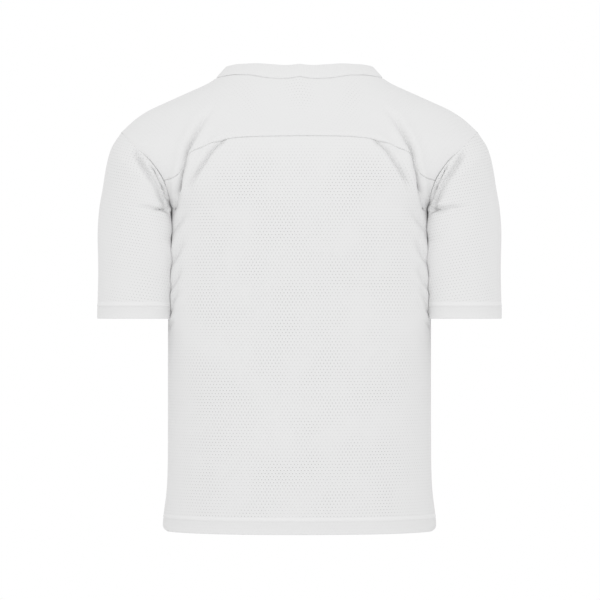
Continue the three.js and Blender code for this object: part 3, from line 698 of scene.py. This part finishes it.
def pressed_out(point, share):
    """Points below the underarm moved clear of the creased body: their width is the smooth greater
    of their own and the body's, (x + b + sqrt((x - b)^2 + softness^2)) / 2."""
    x, y, z = np.moveaxis(point, -1, 0)
    low = z < UNDERARM_Z
    side = np.where(y[low] >= 0, 1, -1)
    depth = np.minimum(1, np.abs(y[low]) / middle_depth(z[low], side)) ** side_flatness(z[low])
    wide = section_x(z[low], side) * (1 - depth) ** (1 / SECTION_SQUARENESS)
    base = body_point(wide, z[low], side)
    normal = body_normal(base, side)
    push = np.sum((creased(wide, z[low], side) - base) * normal, axis=-1)
    push += seam_relief(np.abs(y[low]))
    skin = wide + push / np.maximum(normal[:, 0], LEAST_ACROSS) + SLEEVE_CLEARANCE
    own = x[low]
    clear = (own + skin + np.sqrt((own - skin) ** 2 + CONTACT_SOFTNESS ** 2)) / 2
    moved = point.copy()
    moved[low, 0] = mix(own, clear, np.broadcast_to(share, x.shape)[low])
    return moved


def grid_normals(points, closed):
    """The way out of a grid of points: across its columns times up its rows."""
    if closed:
        across = np.roll(points, -1, axis=1) - np.roll(points, 1, axis=1)
    else:
        across = np.gradient(points, axis=1)
    way = np.cross(across, np.gradient(points, axis=0))
    return way / np.maximum(np.linalg.norm(way, axis=-1, keepdims=True), TINY)


def sleeve_sections():
    """The sections of a sleeve's rows, from the cuff up to the armhole."""
    cuff = CUFF_SECTION - np.array(CUFF_ROWS) / LAST_SECTION_LENGTH
    low, middle, top = (np.linspace(*stretch) for stretch in SLEEVE_STRETCHES)
    return np.concatenate([cuff, low, middle, top[1:]])[:, None]


def sleeve_push(plain):
    """How far a sleeve's own folds move its plain points, with a ripple of two crossing waves, each
    0.5 mm high."""
    points = plain.reshape(-1, 3)
    normals = grid_normals(plain, True).reshape(-1, 3)
    push = np.zeros_like(points)
    for fold in SLEEVE_FOLDS:
        line = sleeve_point(*curve_through(fold["path"], FOLD_STEPS))
        push += fold_push(points, normals, line, fold["turn"], fold)
    _, y, z = np.moveaxis(points, -1, 0)
    ripple = 0.5 * np.sin(z / 21 + 2.2 * np.sin(y / 40)) + 0.5 * np.sin(y / 17 + z / 49)
    push += normals * ripple[:, None]
    return push.reshape(plain.shape)


def carried_push(degrees):
    """How far the body's folds move the armhole's edge, at degrees around it."""
    z = armhole_z(degrees)
    x = armhole_x(z)
    side = np.where(np.sin(np.radians(degrees)) >= 0, 1, -1)
    return creased(x, z, side) - body_point(x, z, side)


def sleeve_flat(plain):
    """Places of a sleeve's points on its flat cloth: length around each row from its middle, and up
    each column from the cuff. One column more than the points' shuts the ring."""
    ring = np.concatenate([plain, plain[:, :1]], axis=1)
    around = lengths(ring, 1)
    around -= around.mean(1)[:, None]
    return np.stack([around, lengths(ring)], -1)


def sleeve_grid():
    """The left sleeve from the cuff up to the armhole, its seam along the inner side. Its last ring
    takes the body's folds and carries them down until its own have begun."""
    sections = sleeve_sections()
    degrees = np.linspace(-180, 180, SLEEVE_COLUMNS + 1)[None, :-1]
    plain = sleeve_point(sections, degrees)
    begun = smooth_step(0, FOLDS_BEGIN, sections)[..., None]
    still = (1 - smooth_step(0, 1, sections))[..., None]
    made = plain + sleeve_push(plain) * begun + carried_push(degrees[0]) * still
    flat = sleeve_flat(plain)
    around, up = flat[..., 0], flat[:, :-1, 1]
    from_armhole, _ = edge_distances(made, True)
    from_own_seam = np.abs(around).max(1)[:, None] - np.abs(around[:, :-1])
    own_seam = SLEEVE_SEAM_DEPTH * bell(from_own_seam, SEAM_REACH)
    relief = seam_relief(from_armhole) * armhole_strength(armhole_z(degrees[0]))
    relief += hem_relief(up, CUFF_STITCHES, CUFF_EDGE_ROLL) - own_seam
    made = made + grid_normals(made, True) * relief[..., None]
    return pressed_out(made, smooth_step(0, PRESSED_FROM, sections)), flat


def armhole_strength(z):
    """How deep the armhole's seam is: hardly seen at the tip of the shoulder, full at the underarm."""
    return mix(ARMHOLE_FAINTEST, 1, smooth_step(ARMHOLE_FAINT_Z, ARMHOLE_FULL_Z, z))


def armhole_gap(z):
    """Half the gap in the armhole's seam: shut at the tip of the shoulder, open at the underarm."""
    return mix(SHOULDER_TIP_GAP, SEAM_GAP, armhole_strength(z))


def neckline_loop():
    """The creased neckline, all round from the middle of the back by the left, with its wave."""
    back = np.concatenate([NECK_ANGLE_AT_BACK_SEAM * np.linspace(0, 1, HALF_BACK_COLUMNS + 1),
                           np.linspace(NECK_ANGLE_AT_BACK_SEAM, NECK_ANGLE_AT_FRONT_SEAM,
                                       YOKE_ARMHOLE_COLUMNS + 1)[1:],
                           np.linspace(NECK_ANGLE_AT_FRONT_SEAM, 180, HALF_NECK_FRONT_COLUMNS + 1)[1:]])
    x, crown = neck_place(back)
    x[-1] = 0
    z = shoulder_z(x) - crown ** 2
    side = np.where(crown >= 0, 1, -1)
    x = np.concatenate([x, -x[-2:0:-1]])
    z = np.concatenate([z, z[-2:0:-1]])
    side = np.concatenate([side, side[-2:0:-1]])
    angle = np.concatenate([back, 360 - back[-2:0:-1]])
    loop = creased(x, z, side)
    wave = neck_wave(np.abs(x)) * (side > 0)
    loop[:, 2] += wave
    return loop, angle, wave


def collar_grid():
    """The rib collar from its top edge down to the neckline, and tucked in below it. It leans in
    more and more on its way up: its rise and reach are the sums of the cosine and the sine of its
    lean. Over the shoulders it leans more at the seam, less at the top, and is a little lower."""
    loop, angle, wave = neckline_loop()
    ahead = np.roll(loop, -1, axis=0) - np.roll(loop, 1, axis=0)
    ahead[:, 2] = 0
    ahead /= np.linalg.norm(ahead, axis=1, keepdims=True)
    inward = np.cross(ahead, [0, 0, -1.0])
    inward *= np.sign(np.sum(inward * -loop * [1, 1, 0], axis=1))[:, None]
    from_back = np.minimum(angle, 360 - angle)
    at_shoulder = smooth_step(*SHOULDER_STARTS, from_back) * (1 - smooth_step(*SHOULDER_ENDS, from_back))
    height = COLLAR_HEIGHT - SHOULDER_DROP * at_shoulder
    share = close_ends(COLLAR_ROWS)[::-1]
    lean = np.radians(mix(LEAN_AT_SEAM + SHOULDER_LEAN_AT_SEAM * at_shoulder,
                          LEAN_AT_TOP + SHOULDER_LEAN_AT_TOP * at_shoulder,
                          np.linspace(0, 1, LEAN_STEPS + 1)[:, None]))
    rise, reach = (summed(way[1:] + way[:-1]) / (2 * LEAN_STEPS) for way in (np.cos(lean), np.sin(lean)))
    place = np.round(share * LEAN_STEPS).astype(int)
    up = rise[place] * height - wave * WAVE_AT_COLLAR_TOP * share[:, None]
    into = reach[place] * height
    tuck = np.array(COLLAR_TUCK_ROWS)
    tuck_shape = (len(tuck), len(loop))
    up = np.concatenate([up, np.broadcast_to(-tuck[:, None], tuck_shape)])
    into = np.concatenate([into, np.full(tuck_shape, COLLAR_TUCK_IN)])
    points = loop[None] + up[..., None] * [0, 0, 1.0] + into[..., None] * inward[None]
    around = lengths(np.concatenate([loop, loop[:1]]))
    along = np.concatenate([share * COLLAR_HEIGHT, -tuck])
    flat = np.stack(np.broadcast_arrays(around[None, :], along[:, None]), -1)
    return points, flat


# Turning a grid of points into a thin closed wall of cloth

def edge_distances(points, closed):
    """Distance of every point from its grid's last row and from its nearer side, along the grid."""
    from_top = lengths(points[::-1])[::-1]
    if closed:
        return from_top, np.full(points.shape[:2], np.inf)
    from_start = lengths(points, 1)
    return from_top, np.minimum(from_start, from_start[:, -1:] - from_start)


def seam_relief(distance):
    """How far cloth beside a seam stands out: nothing at the seam itself, a rounded rise next to
    it over its turned edge, and a slow fall back to the form."""
    rise = 1 - bell(distance, SEAM_REACH)
    return SEAM_PUFF * rise * bell(distance, PUFF_REACH)


def drawn_in(grid, distance):
    """A grid whose first row is moved in from its edge, and the rows next to it less and less."""
    way = grid[DRAWN_ROWS] - grid[0]
    way /= np.linalg.norm(way, axis=-1, keepdims=True)
    share = np.linspace(1, 0, DRAWN_ROWS + 1)[:-1, None, None]
    return np.concatenate([grid[:DRAWN_ROWS] + share * distance * way, grid[DRAWN_ROWS:]])


def cloth_wall(grid, relief, wall, closed, gap=0.0):
    """A grid thickened into a folded one: up the inner wall's rows in reverse, round the finished
    edge in half a circle, and up the outer wall's rows. The round ends a gap short of the edge."""
    grid = drawn_in(grid, wall.max() / 2 + gap)
    normal = grid_normals(grid, closed)
    outer = grid + normal * relief[..., None]
    inner = outer - normal * wall[..., None]
    middle, half = (outer[0] + inner[0]) / 2, (outer[0] - inner[0]) / 2
    down = grid[0] - grid[1]
    down /= np.linalg.norm(down, axis=-1, keepdims=True)
    radius = np.linalg.norm(half, axis=-1, keepdims=True)
    turn = np.radians(np.linspace(-90, 90, ROUND_ROWS + 2)[1:-1])[:, None, None]
    bend = middle + half * np.sin(turn) + down * radius * np.cos(turn)
    return np.concatenate([inner[::-1], bend, outer])


def set_back(points, distance, closed):
    """A folded grid with its seam edges drawn back from the seams, towards the next points."""
    for axis in (0,) if closed else (0, 1):
        lines = points.swapaxes(0, axis)
        moved = lines.copy()
        for edge, following in ((0, 1), (-1, -2)):
            way = lines[following] - lines[edge]
            moved[edge] += way * distance / np.maximum(np.linalg.norm(way, axis=-1, keepdims=True), TINY)
        points = moved.swapaxes(0, axis)
    return points


def folded_faces(rows, columns, closed):
    """Corner numbers, four to a face, of a folded grid: its cells, and strips that shut the seam
    edge and, on an open grid, both sides."""
    cells = columns if closed else columns - 1
    row, column = np.mgrid[0:rows - 1, 0:cells]

    def quads(a_row, a_col, b_row, b_col, c_row, c_col, d_row, d_col):
        corners = [(a_row, a_col), (b_row, b_col), (c_row, c_col), (d_row, d_col)]
        return np.stack([np.stack(np.broadcast_arrays(r, c), -1) for r, c in corners], -2).reshape(-1, 4, 2)

    faces = [quads(row, column, row, column + 1, row + 1, column + 1, row + 1, column)]
    line = np.arange(cells)
    faces.append(quads(rows - 1, line, rows - 1, line + 1, 0, line + 1, 0, line))
    if not closed:
        i = np.arange((rows - 1) // 2)
        j = rows - 1 - i
        last = columns - 1
        faces.append(quads(j, 0, i, 0, i + 1, 0, j - 1, 0))
        faces.append(quads(i, last, j, last, j - 1, last, i + 1, last))
    return np.concatenate(faces)


def make_cloth(name, points, flat, material, openness=None, closed=False):
    """A mesh object from a folded grid, in metres, with its places on the flat cloth as UV and how
    open its mesh is as an attribute."""
    rows, columns = points.shape[:2]
    corners = folded_faces(rows, columns, closed)
    index = corners[..., 0] * columns + corners[..., 1] % columns
    uv = flat[corners[..., 0], corners[..., 1]] * MM
    mesh = bpy.data.meshes.new(name)
    mesh.from_pydata((points.reshape(-1, 3) * MM).tolist(), [], index.tolist())
    layer = mesh.uv_layers.new(name="cloth")
    layer.data.foreach_set("uv", uv.reshape(-1).astype(np.float32))
    if openness is not None:
        share = mesh.attributes.new("openness", "FLOAT", "POINT")
        share.data.foreach_set("value", folded_flat(openness).reshape(-1).astype(np.float32))
    mesh.materials.append(material)
    mesh.shade_smooth()
    mesh.update()
    piece = bpy.data.objects.new(name, mesh)
    bpy.context.scene.collection.objects.link(piece)
    return piece


def folded_flat(flat):
    """Values for a folded grid: the inner wall's and the fold's follow the outer wall's."""
    bend = np.repeat(flat[:1], ROUND_ROWS, axis=0)
    return np.concatenate([flat[::-1], bend, flat])


# Cloth materials

HOLE_PITCH = 0.0054
HOLE_ROW_PITCH = 0.0048
HOLE_RADIUS = 0.00072
HOLE_SOFTNESS = 0.0003
CLOTH_WHITE = (0.805, 0.805, 0.805, 1)
# The holes' grey is painted shade: the shaded inside of the jersey seen through them
HOLE_SHADE_GREY = (0.48, 0.48, 0.48, 1)
MESH_ROUGHNESS = 0.82
MESH_SHEEN = 0.12
MESH_GRAIN = 900
MESH_BUMP = 0.35

# Patches where the holes show more or less: the noise's scale, detail and range, and the least share
PATCH_SCALE = 17
PATCH_DETAIL = 3
PATCH_RANGE = (0.36, 0.62)
LEAST_PATCH = 0.35

# A turned hem: the height where its second layer ends, how softly, and what shows of the holes in it
HEM_TOP = 0.0275
HEM_SOFTNESS = 0.001
HOLES_IN_HEM = 0.15

# Painted shade and highlight of a turned hem by share of its height: soft and a little lighter below,
# painted shade under the stitches, and a painted highlight between their two rows, where it is
# puffed, up to the plain cloth above it
HEM_SHADE_AND_HIGHLIGHT = [(0, 0.81), (0.55, 0.79), (0.74, 0.782), (0.8, 0.828), (0.95, 0.828), (1, 0.805)]

RIB_PITCH = 0.0027
# The ribs' greys are painted light: painted shade in the grooves and a painted highlight on the crests
RIB_GROOVE_SHADE = (0.80, 0.80, 0.80, 1)
RIB_CREST_HIGHLIGHT = (0.82, 0.82, 0.82, 1)
RIB_ROUGHNESS = 0.86
RIB_SHEEN = 0.15
RIB_GRAIN = 1100
RIB_BUMP = 0.22

# All the cloth: gloss, the sheen's roughness, the fine knit and the depth of the bump
CLOTH_GLOSS = 0.25
SHEEN_ROUGHNESS = 0.6
KNIT_DETAIL = 2
KNIT_SHARE = 0.3
BUMP_DEPTH = 0.0004


def node_tools(material):
    """Short ways to add a node with its sockets and settings, and to do sums with sockets."""
    tree = material.node_tree

    def add(kind, sockets=None, **settings):
        node = tree.nodes.new(kind)
        for key, value in settings.items():
            setattr(node, key, value)
        for key, value in (sockets or {}).items():
            if isinstance(value, bpy.types.NodeSocket):
                tree.links.new(value, node.inputs[key])
            else:
                node.inputs[key].default_value = value
        return node

    def sums(operation, *values):
        return add("ShaderNodeMath", dict(enumerate(values)), operation=operation).outputs[0]

    return add, sums


def cloth_shader(name, roughness, sheen):
    """A soft matt cloth shader, whose sheen and gloss are set on its own sockets."""
    material = bpy.data.materials.new(name)
    material.use_nodes = True
    shader = material.node_tree.nodes["Principled BSDF"]
    shader.inputs["Roughness"].default_value = roughness
    shader.inputs["Specular IOR Level"].default_value = CLOTH_GLOSS
    shader.inputs["Sheen Weight"].default_value = sheen
    shader.inputs["Sheen Roughness"].default_value = SHEEN_ROUGHNESS
    return material, shader


def soft_step(add, value, low, high, least=0.0):
    """A value that grows smoothly from least at low to 1 at high."""
    sockets = {"Value": value, "From Min": low, "From Max": high, "To Min": least}
    return add("ShaderNodeMapRange", sockets, interpolation_type="SMOOTHSTEP").outputs["Result"]


def blended(add, share, start, end):
    """A colour a share of the way from start to end."""
    return add("ShaderNodeMix", {"Factor": share, "A": start, "B": end}, data_type="RGBA").outputs["Result"]


def finish_cloth(material, shader, colour, form, grain, strength):
    """Give a shader its colour, and the bump of a form with a fine knit on it."""
    add, sums = node_tools(material)
    place = add("ShaderNodeTexCoord").outputs["Object"]
    knit = add("ShaderNodeTexNoise", {"Vector": place, "Scale": grain, "Detail": KNIT_DETAIL})
    relief = sums("MULTIPLY_ADD", knit.outputs["Fac"], KNIT_SHARE, form)
    bump = add("ShaderNodeBump", {"Height": relief, "Strength": strength, "Distance": BUMP_DEPTH})
    links = material.node_tree.links
    links.new(colour, shader.inputs["Base Color"])
    links.new(bump.outputs["Normal"], shader.inputs["Normal"])


def holes(add, sums, uv, turned):
    """1 in a hole and 0 between them. The holes are the points of two lattices, the second half a
    cell beyond the first both ways, so each place takes its distance from the nearer of them."""
    turn = add("ShaderNodeMapping", {"Vector": uv, "Rotation": (0, 0, np.radians(turned))})
    split = add("ShaderNodeSeparateXYZ", {0: turn.outputs["Vector"]})

    def from_cell(value, pitch, shift):
        moved = sums("ADD", value, shift * pitch)
        return sums("SUBTRACT", sums("WRAP", moved, pitch, 0.0), pitch / 2)

    def from_hole(shift):
        across = from_cell(split.outputs[0], HOLE_PITCH, shift)
        along = from_cell(split.outputs[1], 2 * HOLE_ROW_PITCH, shift)
        return sums("SQRT", sums("ADD", sums("MULTIPLY", across, across), sums("MULTIPLY", along, along)))

    distance = sums("MINIMUM", from_hole(0.0), from_hole(0.5))
    return soft_step(add, distance, HOLE_RADIUS + HOLE_SOFTNESS, HOLE_RADIUS - HOLE_SOFTNESS)


def patches(add):
    """How much of the holes shows, more or less in soft patches a few centimetres wide."""
    place = add("ShaderNodeTexCoord").outputs["Object"]
    noise = add("ShaderNodeTexNoise", {"Vector": place, "Scale": PATCH_SCALE, "Detail": PATCH_DETAIL})
    low, high = PATCH_RANGE
    sockets = {"Value": noise.outputs["Fac"], "From Min": low, "From Max": high, "To Min": LEAST_PATCH}
    return add("ShaderNodeMapRange", sockets).outputs["Result"]


def set_tones(ramp, tones):
    """Set a ramp's greys, lowest first."""
    for place, _ in tones[1:-1]:
        ramp.elements.new(place)
    for element, (place, grey) in zip(ramp.elements, tones):
        element.position = place
        element.color = (grey, grey, grey, 1)


def mesh_cloth(name, strength, turned=0.0, hem=None):
    """White mesh cloth: round holes on a staggered lattice of the flat cloth, painted grey for the
    shade inside them, darker and lighter in soft patches, over a fine knit. turned is the lattice's
    turn in degrees. hem is the height on the flat cloth below which a second layer shuts the holes
    and the cloth has a hem's painted shade and highlight."""
    material, shader = cloth_shader(name, MESH_ROUGHNESS, MESH_SHEEN)
    add, sums = node_tools(material)
    uv = add("ShaderNodeUVMap", uv_map="cloth").outputs["UV"]
    openness = add("ShaderNodeAttribute", attribute_name="openness").outputs["Fac"]
    hole_shade_and_dip = sums("MULTIPLY", holes(add, sums, uv, turned), patches(add))
    hole_shade_and_dip = sums("MULTIPLY", hole_shade_and_dip, sums("MULTIPLY", openness, strength))
    white = CLOTH_WHITE
    if hem is not None:
        height = add("ShaderNodeSeparateXYZ", {0: uv}).outputs[1]
        above_hem = soft_step(add, height, hem - HEM_SOFTNESS, hem + HEM_SOFTNESS, HOLES_IN_HEM)
        hole_shade_and_dip = sums("MULTIPLY", hole_shade_and_dip, above_hem)
        # The hem's greys are painted shade under its stitches and a painted highlight on its puffed strip
        hem_shade_band = add("ShaderNodeValToRGB", {"Fac": sums("DIVIDE", height, hem)})
        set_tones(hem_shade_band.color_ramp, HEM_SHADE_AND_HIGHLIGHT)
        white = hem_shade_band.outputs["Color"]
    # Painted shade in the holes: their grey stands for the shaded inside seen through them, and the same
    # mask sinks them by bump
    colour = blended(add, hole_shade_and_dip, white, HOLE_SHADE_GREY)
    finish_cloth(material, shader, colour, sums("MULTIPLY", hole_shade_and_dip, -1.0), MESH_GRAIN, MESH_BUMP)
    return material


def rib_knit():
    """White rib knit: upright ribs, a rounded wave around the collar, painted a little darker in
    their grooves for shade and lighter on their crests for a highlight, with a fine knit on them.
    """
    material, shader = cloth_shader("rib_knit", RIB_ROUGHNESS, RIB_SHEEN)
    add, sums = node_tools(material)
    uv = add("ShaderNodeUVMap", uv_map="cloth").outputs["UV"]
    around = add("ShaderNodeSeparateXYZ", {0: uv}).outputs[0]
    wave = sums("SINE", sums("MULTIPLY", around, 2 * np.pi / RIB_PITCH))
    rib = sums("MULTIPLY_ADD", wave, 0.5, 0.5)
    finish_cloth(material, shader, blended(add, rib, RIB_GROOVE_SHADE, RIB_CREST_HIGHLIGHT), rib, RIB_GRAIN, RIB_BUMP)
    return material


# The pieces

def hem_relief(height, stitch_rows, edge_roll):
    """How far a twin-stitched hem stands out: its two layers lift it up to the upper row, each row
    of stitches pulls it in, the strip between the rows is puffed, and its edge rolls in."""
    low, high = stitch_rows
    lift = HEM_LIFT * (1 - smooth_step(high - LIFT_FADES_BELOW, high + LIFT_FADES_ABOVE, height))
    pull = STITCH_PULL * (bell(height - low, STITCH_WIDTH) + bell(height - high, STITCH_WIDTH))
    puff = STRIP_PUFF * bell(height - (low + high) / 2, STRIP_WIDTH)
    return lift - pull + puff - edge_roll * bell(height, EDGE_ROLL_WIDTH)


def corner_relief(height, from_side):
    """How far the body's hem is drawn in at a side seam: a quarter circle's drop over its height,
    dying away from the seam."""
    below = np.clip(1 - height / CORNER_HEIGHT, 0, 1)
    return CORNER_DEPTH * (1 - np.sqrt(1 - below ** 2)) * bell(from_side, CORNER_WIDTH)


def body_piece(name, top, corner_angle, side, material):
    """The back or the front."""
    points, flat = panel(top, corner_angle, side)
    from_top, from_side = edge_distances(points, False)
    height = flat[..., 1]
    relief = seam_relief(np.minimum(from_top, from_side))
    relief += hem_relief(height, BODY_STITCHES, BODY_EDGE_ROLL)
    relief -= corner_relief(height, from_side)
    wall = mix(HEM_WALL, CLOTH_WALL, smooth_step(BODY_HEM, BODY_HEM + WALL_CHANGE, height))
    folded = set_back(cloth_wall(points, relief, wall, False), SEAM_GAP, False)
    openness = mix(1, LEAST_OPEN_AT_SIDE, smooth_step(*BODY_SIDE, np.abs(points[..., 0])))
    openness *= mix(LEAST_OPEN_AT_TOP, 1, smooth_step(*BELOW_TOP, from_top))
    return make_cloth(name, folded, folded_flat(flat), material, openness)


def yoke_piece(material):
    """The yoke. Its finished edge is the outer one, so the fold there is a small one in a seam."""
    points, flat = yoke_grid()
    from_neck, from_side = edge_distances(points, False)
    from_outer, _ = edge_distances(points[::-1], False)
    from_outer = from_outer[::-1]
    relief = seam_relief(np.minimum(np.minimum(from_neck, from_outer), from_side))
    at_armhole = np.abs(np.arange(points.shape[1]) - points.shape[1] // 2) > HALF_BACK_COLUMNS
    soften = np.where(at_armhole, armhole_strength(points[0, :, 2]), 1) - 1
    relief *= 1 + soften * (1 - smooth_step(PUFF_REACH, 2 * PUFF_REACH, from_outer))
    gap = np.where(at_armhole, armhole_gap(points[0, :, 2]), SEAM_GAP)[None, :, None]
    wall = np.full(relief.shape, CLOTH_WALL)
    folded = set_back(cloth_wall(points, relief, wall, False, gap), SEAM_GAP, False)
    x, _, z = np.moveaxis(points, -1, 0)
    openness = np.full(x.shape, YOKE_OPENNESS)
    for strength, (at_x, at_z), (wide, high) in YOKE_SPOTS:
        openness += strength * bell(np.abs(x) - at_x, wide) * bell(z - at_z, high)
    return make_cloth("yoke_cloth", folded, folded_flat(flat), material, openness)


def sleeve_piece(name, grid, mirror, material):
    """A sleeve; the right one is the left one's mirror image with its columns turned round."""
    points, flat = grid
    if mirror < 0:
        points = np.roll(points[:, ::-1] * [-1, 1, 1], 1, axis=1)
        flat = flat[:, ::-1]
    height = flat[:, :-1, 1]
    wall = mix(HEM_WALL, CLOTH_WALL, smooth_step(CUFF_HEM, CUFF_HEM + WALL_CHANGE, height))
    gap = armhole_gap(points[-1, :, 2])[:, None]
    folded = set_back(cloth_wall(points, 0 * wall, wall, True), gap, True)
    openness = mix(1, LEAST_OPEN_AT_SIDE, smooth_step(*SLEEVE_SIDE, np.abs(points[..., 0])))
    return make_cloth(name, folded, folded_flat(flat), material, openness, closed=True)


def collar_piece(material):
    """The rib collar, folded at its top edge. It stands a step out from its grid, less at its seam."""
    points, flat = collar_grid()
    from_base = np.maximum(0, flat[:, :-1, 1])
    relief = COLLAR_STEP * (1 - COLLAR_DIP * bell(from_base, SEAM_REACH))
    wall = np.full(relief.shape, RIB_WALL)
    folded = set_back(cloth_wall(points, relief, wall, True), SEAM_GAP, True)
    return make_cloth("collar_rib", folded, folded_flat(flat), material, closed=True)


body_mesh = mesh_cloth("body_mesh", 1.0, hem=HEM_TOP)
sleeve_mesh = mesh_cloth("sleeve_mesh", 0.65, turned=8, hem=HEM_TOP)
yoke_mesh = mesh_cloth("yoke_mesh", 1.0)
collar_knit = rib_knit()

back = body_piece("back_cloth", back_top(), BACK_SEAM_ANGLE, 1, body_mesh)
front = body_piece("front_cloth", front_top(), FRONT_SEAM_ANGLE, -1, body_mesh)
yoke = yoke_piece(yoke_mesh)
left_grid = sleeve_grid()
sleeve_left = sleeve_piece("sleeve_left_cloth", left_grid, 1, sleeve_mesh)
sleeve_right = sleeve_piece("sleeve_right_cloth", left_grid, -1, sleeve_mesh)
collar = collar_piece(collar_knit)

for piece, node, slot in ((back, "back", "mesh_cloth"), (front, "front", "mesh_cloth"),
                          (yoke, "yoke", "yoke_cloth"), (sleeve_left, "sleeve_left", "mesh_cloth"),
                          (sleeve_right, "sleeve_right", "mesh_cloth"), (collar, "collar", "rib_knit")):
    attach(piece, "root")
    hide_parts(node)


# Studio

CAMERA_PLACE = (-0.0008, 6.0, -0.3512)
LENS = 225
JERSEY_MIDDLE = (0, 0, -0.35)
KEY_PLACE = (0.0, 4.2, -0.2)
KEY_SIZE = 2.6
KEY_POWER = 23
FLOOR_Z = -1.0
FLOOR_HALF = 1.85
FLOOR_GREY = (0.86, 0.86, 0.86, 1)
ROOM_LIGHT = 0.92
ROOM_SEEN = 1.0


def plain_material(name, colour):
    """A plain matt paint."""
    material = bpy.data.materials.new(name)
    material.use_nodes = True
    shader = material.node_tree.nodes["Principled BSDF"]
    shader.inputs["Base Color"].default_value = colour
    shader.inputs["Roughness"].default_value = 0.9
    return material


def add_floor():
    """A plain pale square floor below the jersey."""
    corners = [(x * FLOOR_HALF, y * FLOOR_HALF, FLOOR_Z) for x, y in ((-1, -1), (1, -1), (1, 1), (-1, 1))]
    mesh = bpy.data.meshes.new("floor")
    mesh.from_pydata(corners, [], [(0, 1, 2, 3)])
    mesh.materials.append(plain_material("pale_floor", FLOOR_GREY))
    floor = bpy.data.objects.new("floor", mesh)
    bpy.context.scene.collection.objects.link(floor)


def add_light(name, place, size, energy):
    """A square softbox that looks at the middle of the jersey."""
    light = bpy.data.lights.new(name, "AREA")
    light.shape = "SQUARE"
    light.size = size
    light.energy = energy
    lamp = bpy.data.objects.new(name, light)
    bpy.context.scene.collection.objects.link(lamp)
    lamp.location = place
    lamp.rotation_euler = (Vector(JERSEY_MIDDLE) - Vector(place)).to_track_quat("-Z", "Y").to_euler()


def add_world():
    """White surroundings: pure white to the eye, and softer as light."""
    world = bpy.data.worlds.new("white_room")
    world.use_nodes = True
    bpy.context.scene.world = world
    nodes, links = world.node_tree.nodes, world.node_tree.links
    background = nodes["Background"]
    background.inputs["Color"].default_value = (1, 1, 1, 1)
    seen = nodes.new("ShaderNodeLightPath")
    strength = nodes.new("ShaderNodeMapRange")
    strength.inputs["To Min"].default_value = ROOM_LIGHT
    strength.inputs["To Max"].default_value = ROOM_SEEN
    links.new(seen.outputs["Is Camera Ray"], strength.inputs["Value"])
    links.new(strength.outputs["Result"], background.inputs["Strength"])


def add_camera():
    """A level camera behind the jersey, with a long lens."""
    camera = bpy.data.cameras.new("camera")
    camera.lens = LENS
    camera.sensor_width = 36
    camera.clip_end = 50
    eye = bpy.data.objects.new("camera", camera)
    eye.location = CAMERA_PLACE
    eye.rotation_euler = (np.pi / 2, 0, np.pi)
    bpy.context.scene.collection.objects.link(eye)
    bpy.context.scene.camera = eye


add_world()
add_floor()
add_light("key", KEY_PLACE, KEY_SIZE, KEY_POWER)
add_camera()
bpy.context.scene.view_settings.view_transform = "Standard"
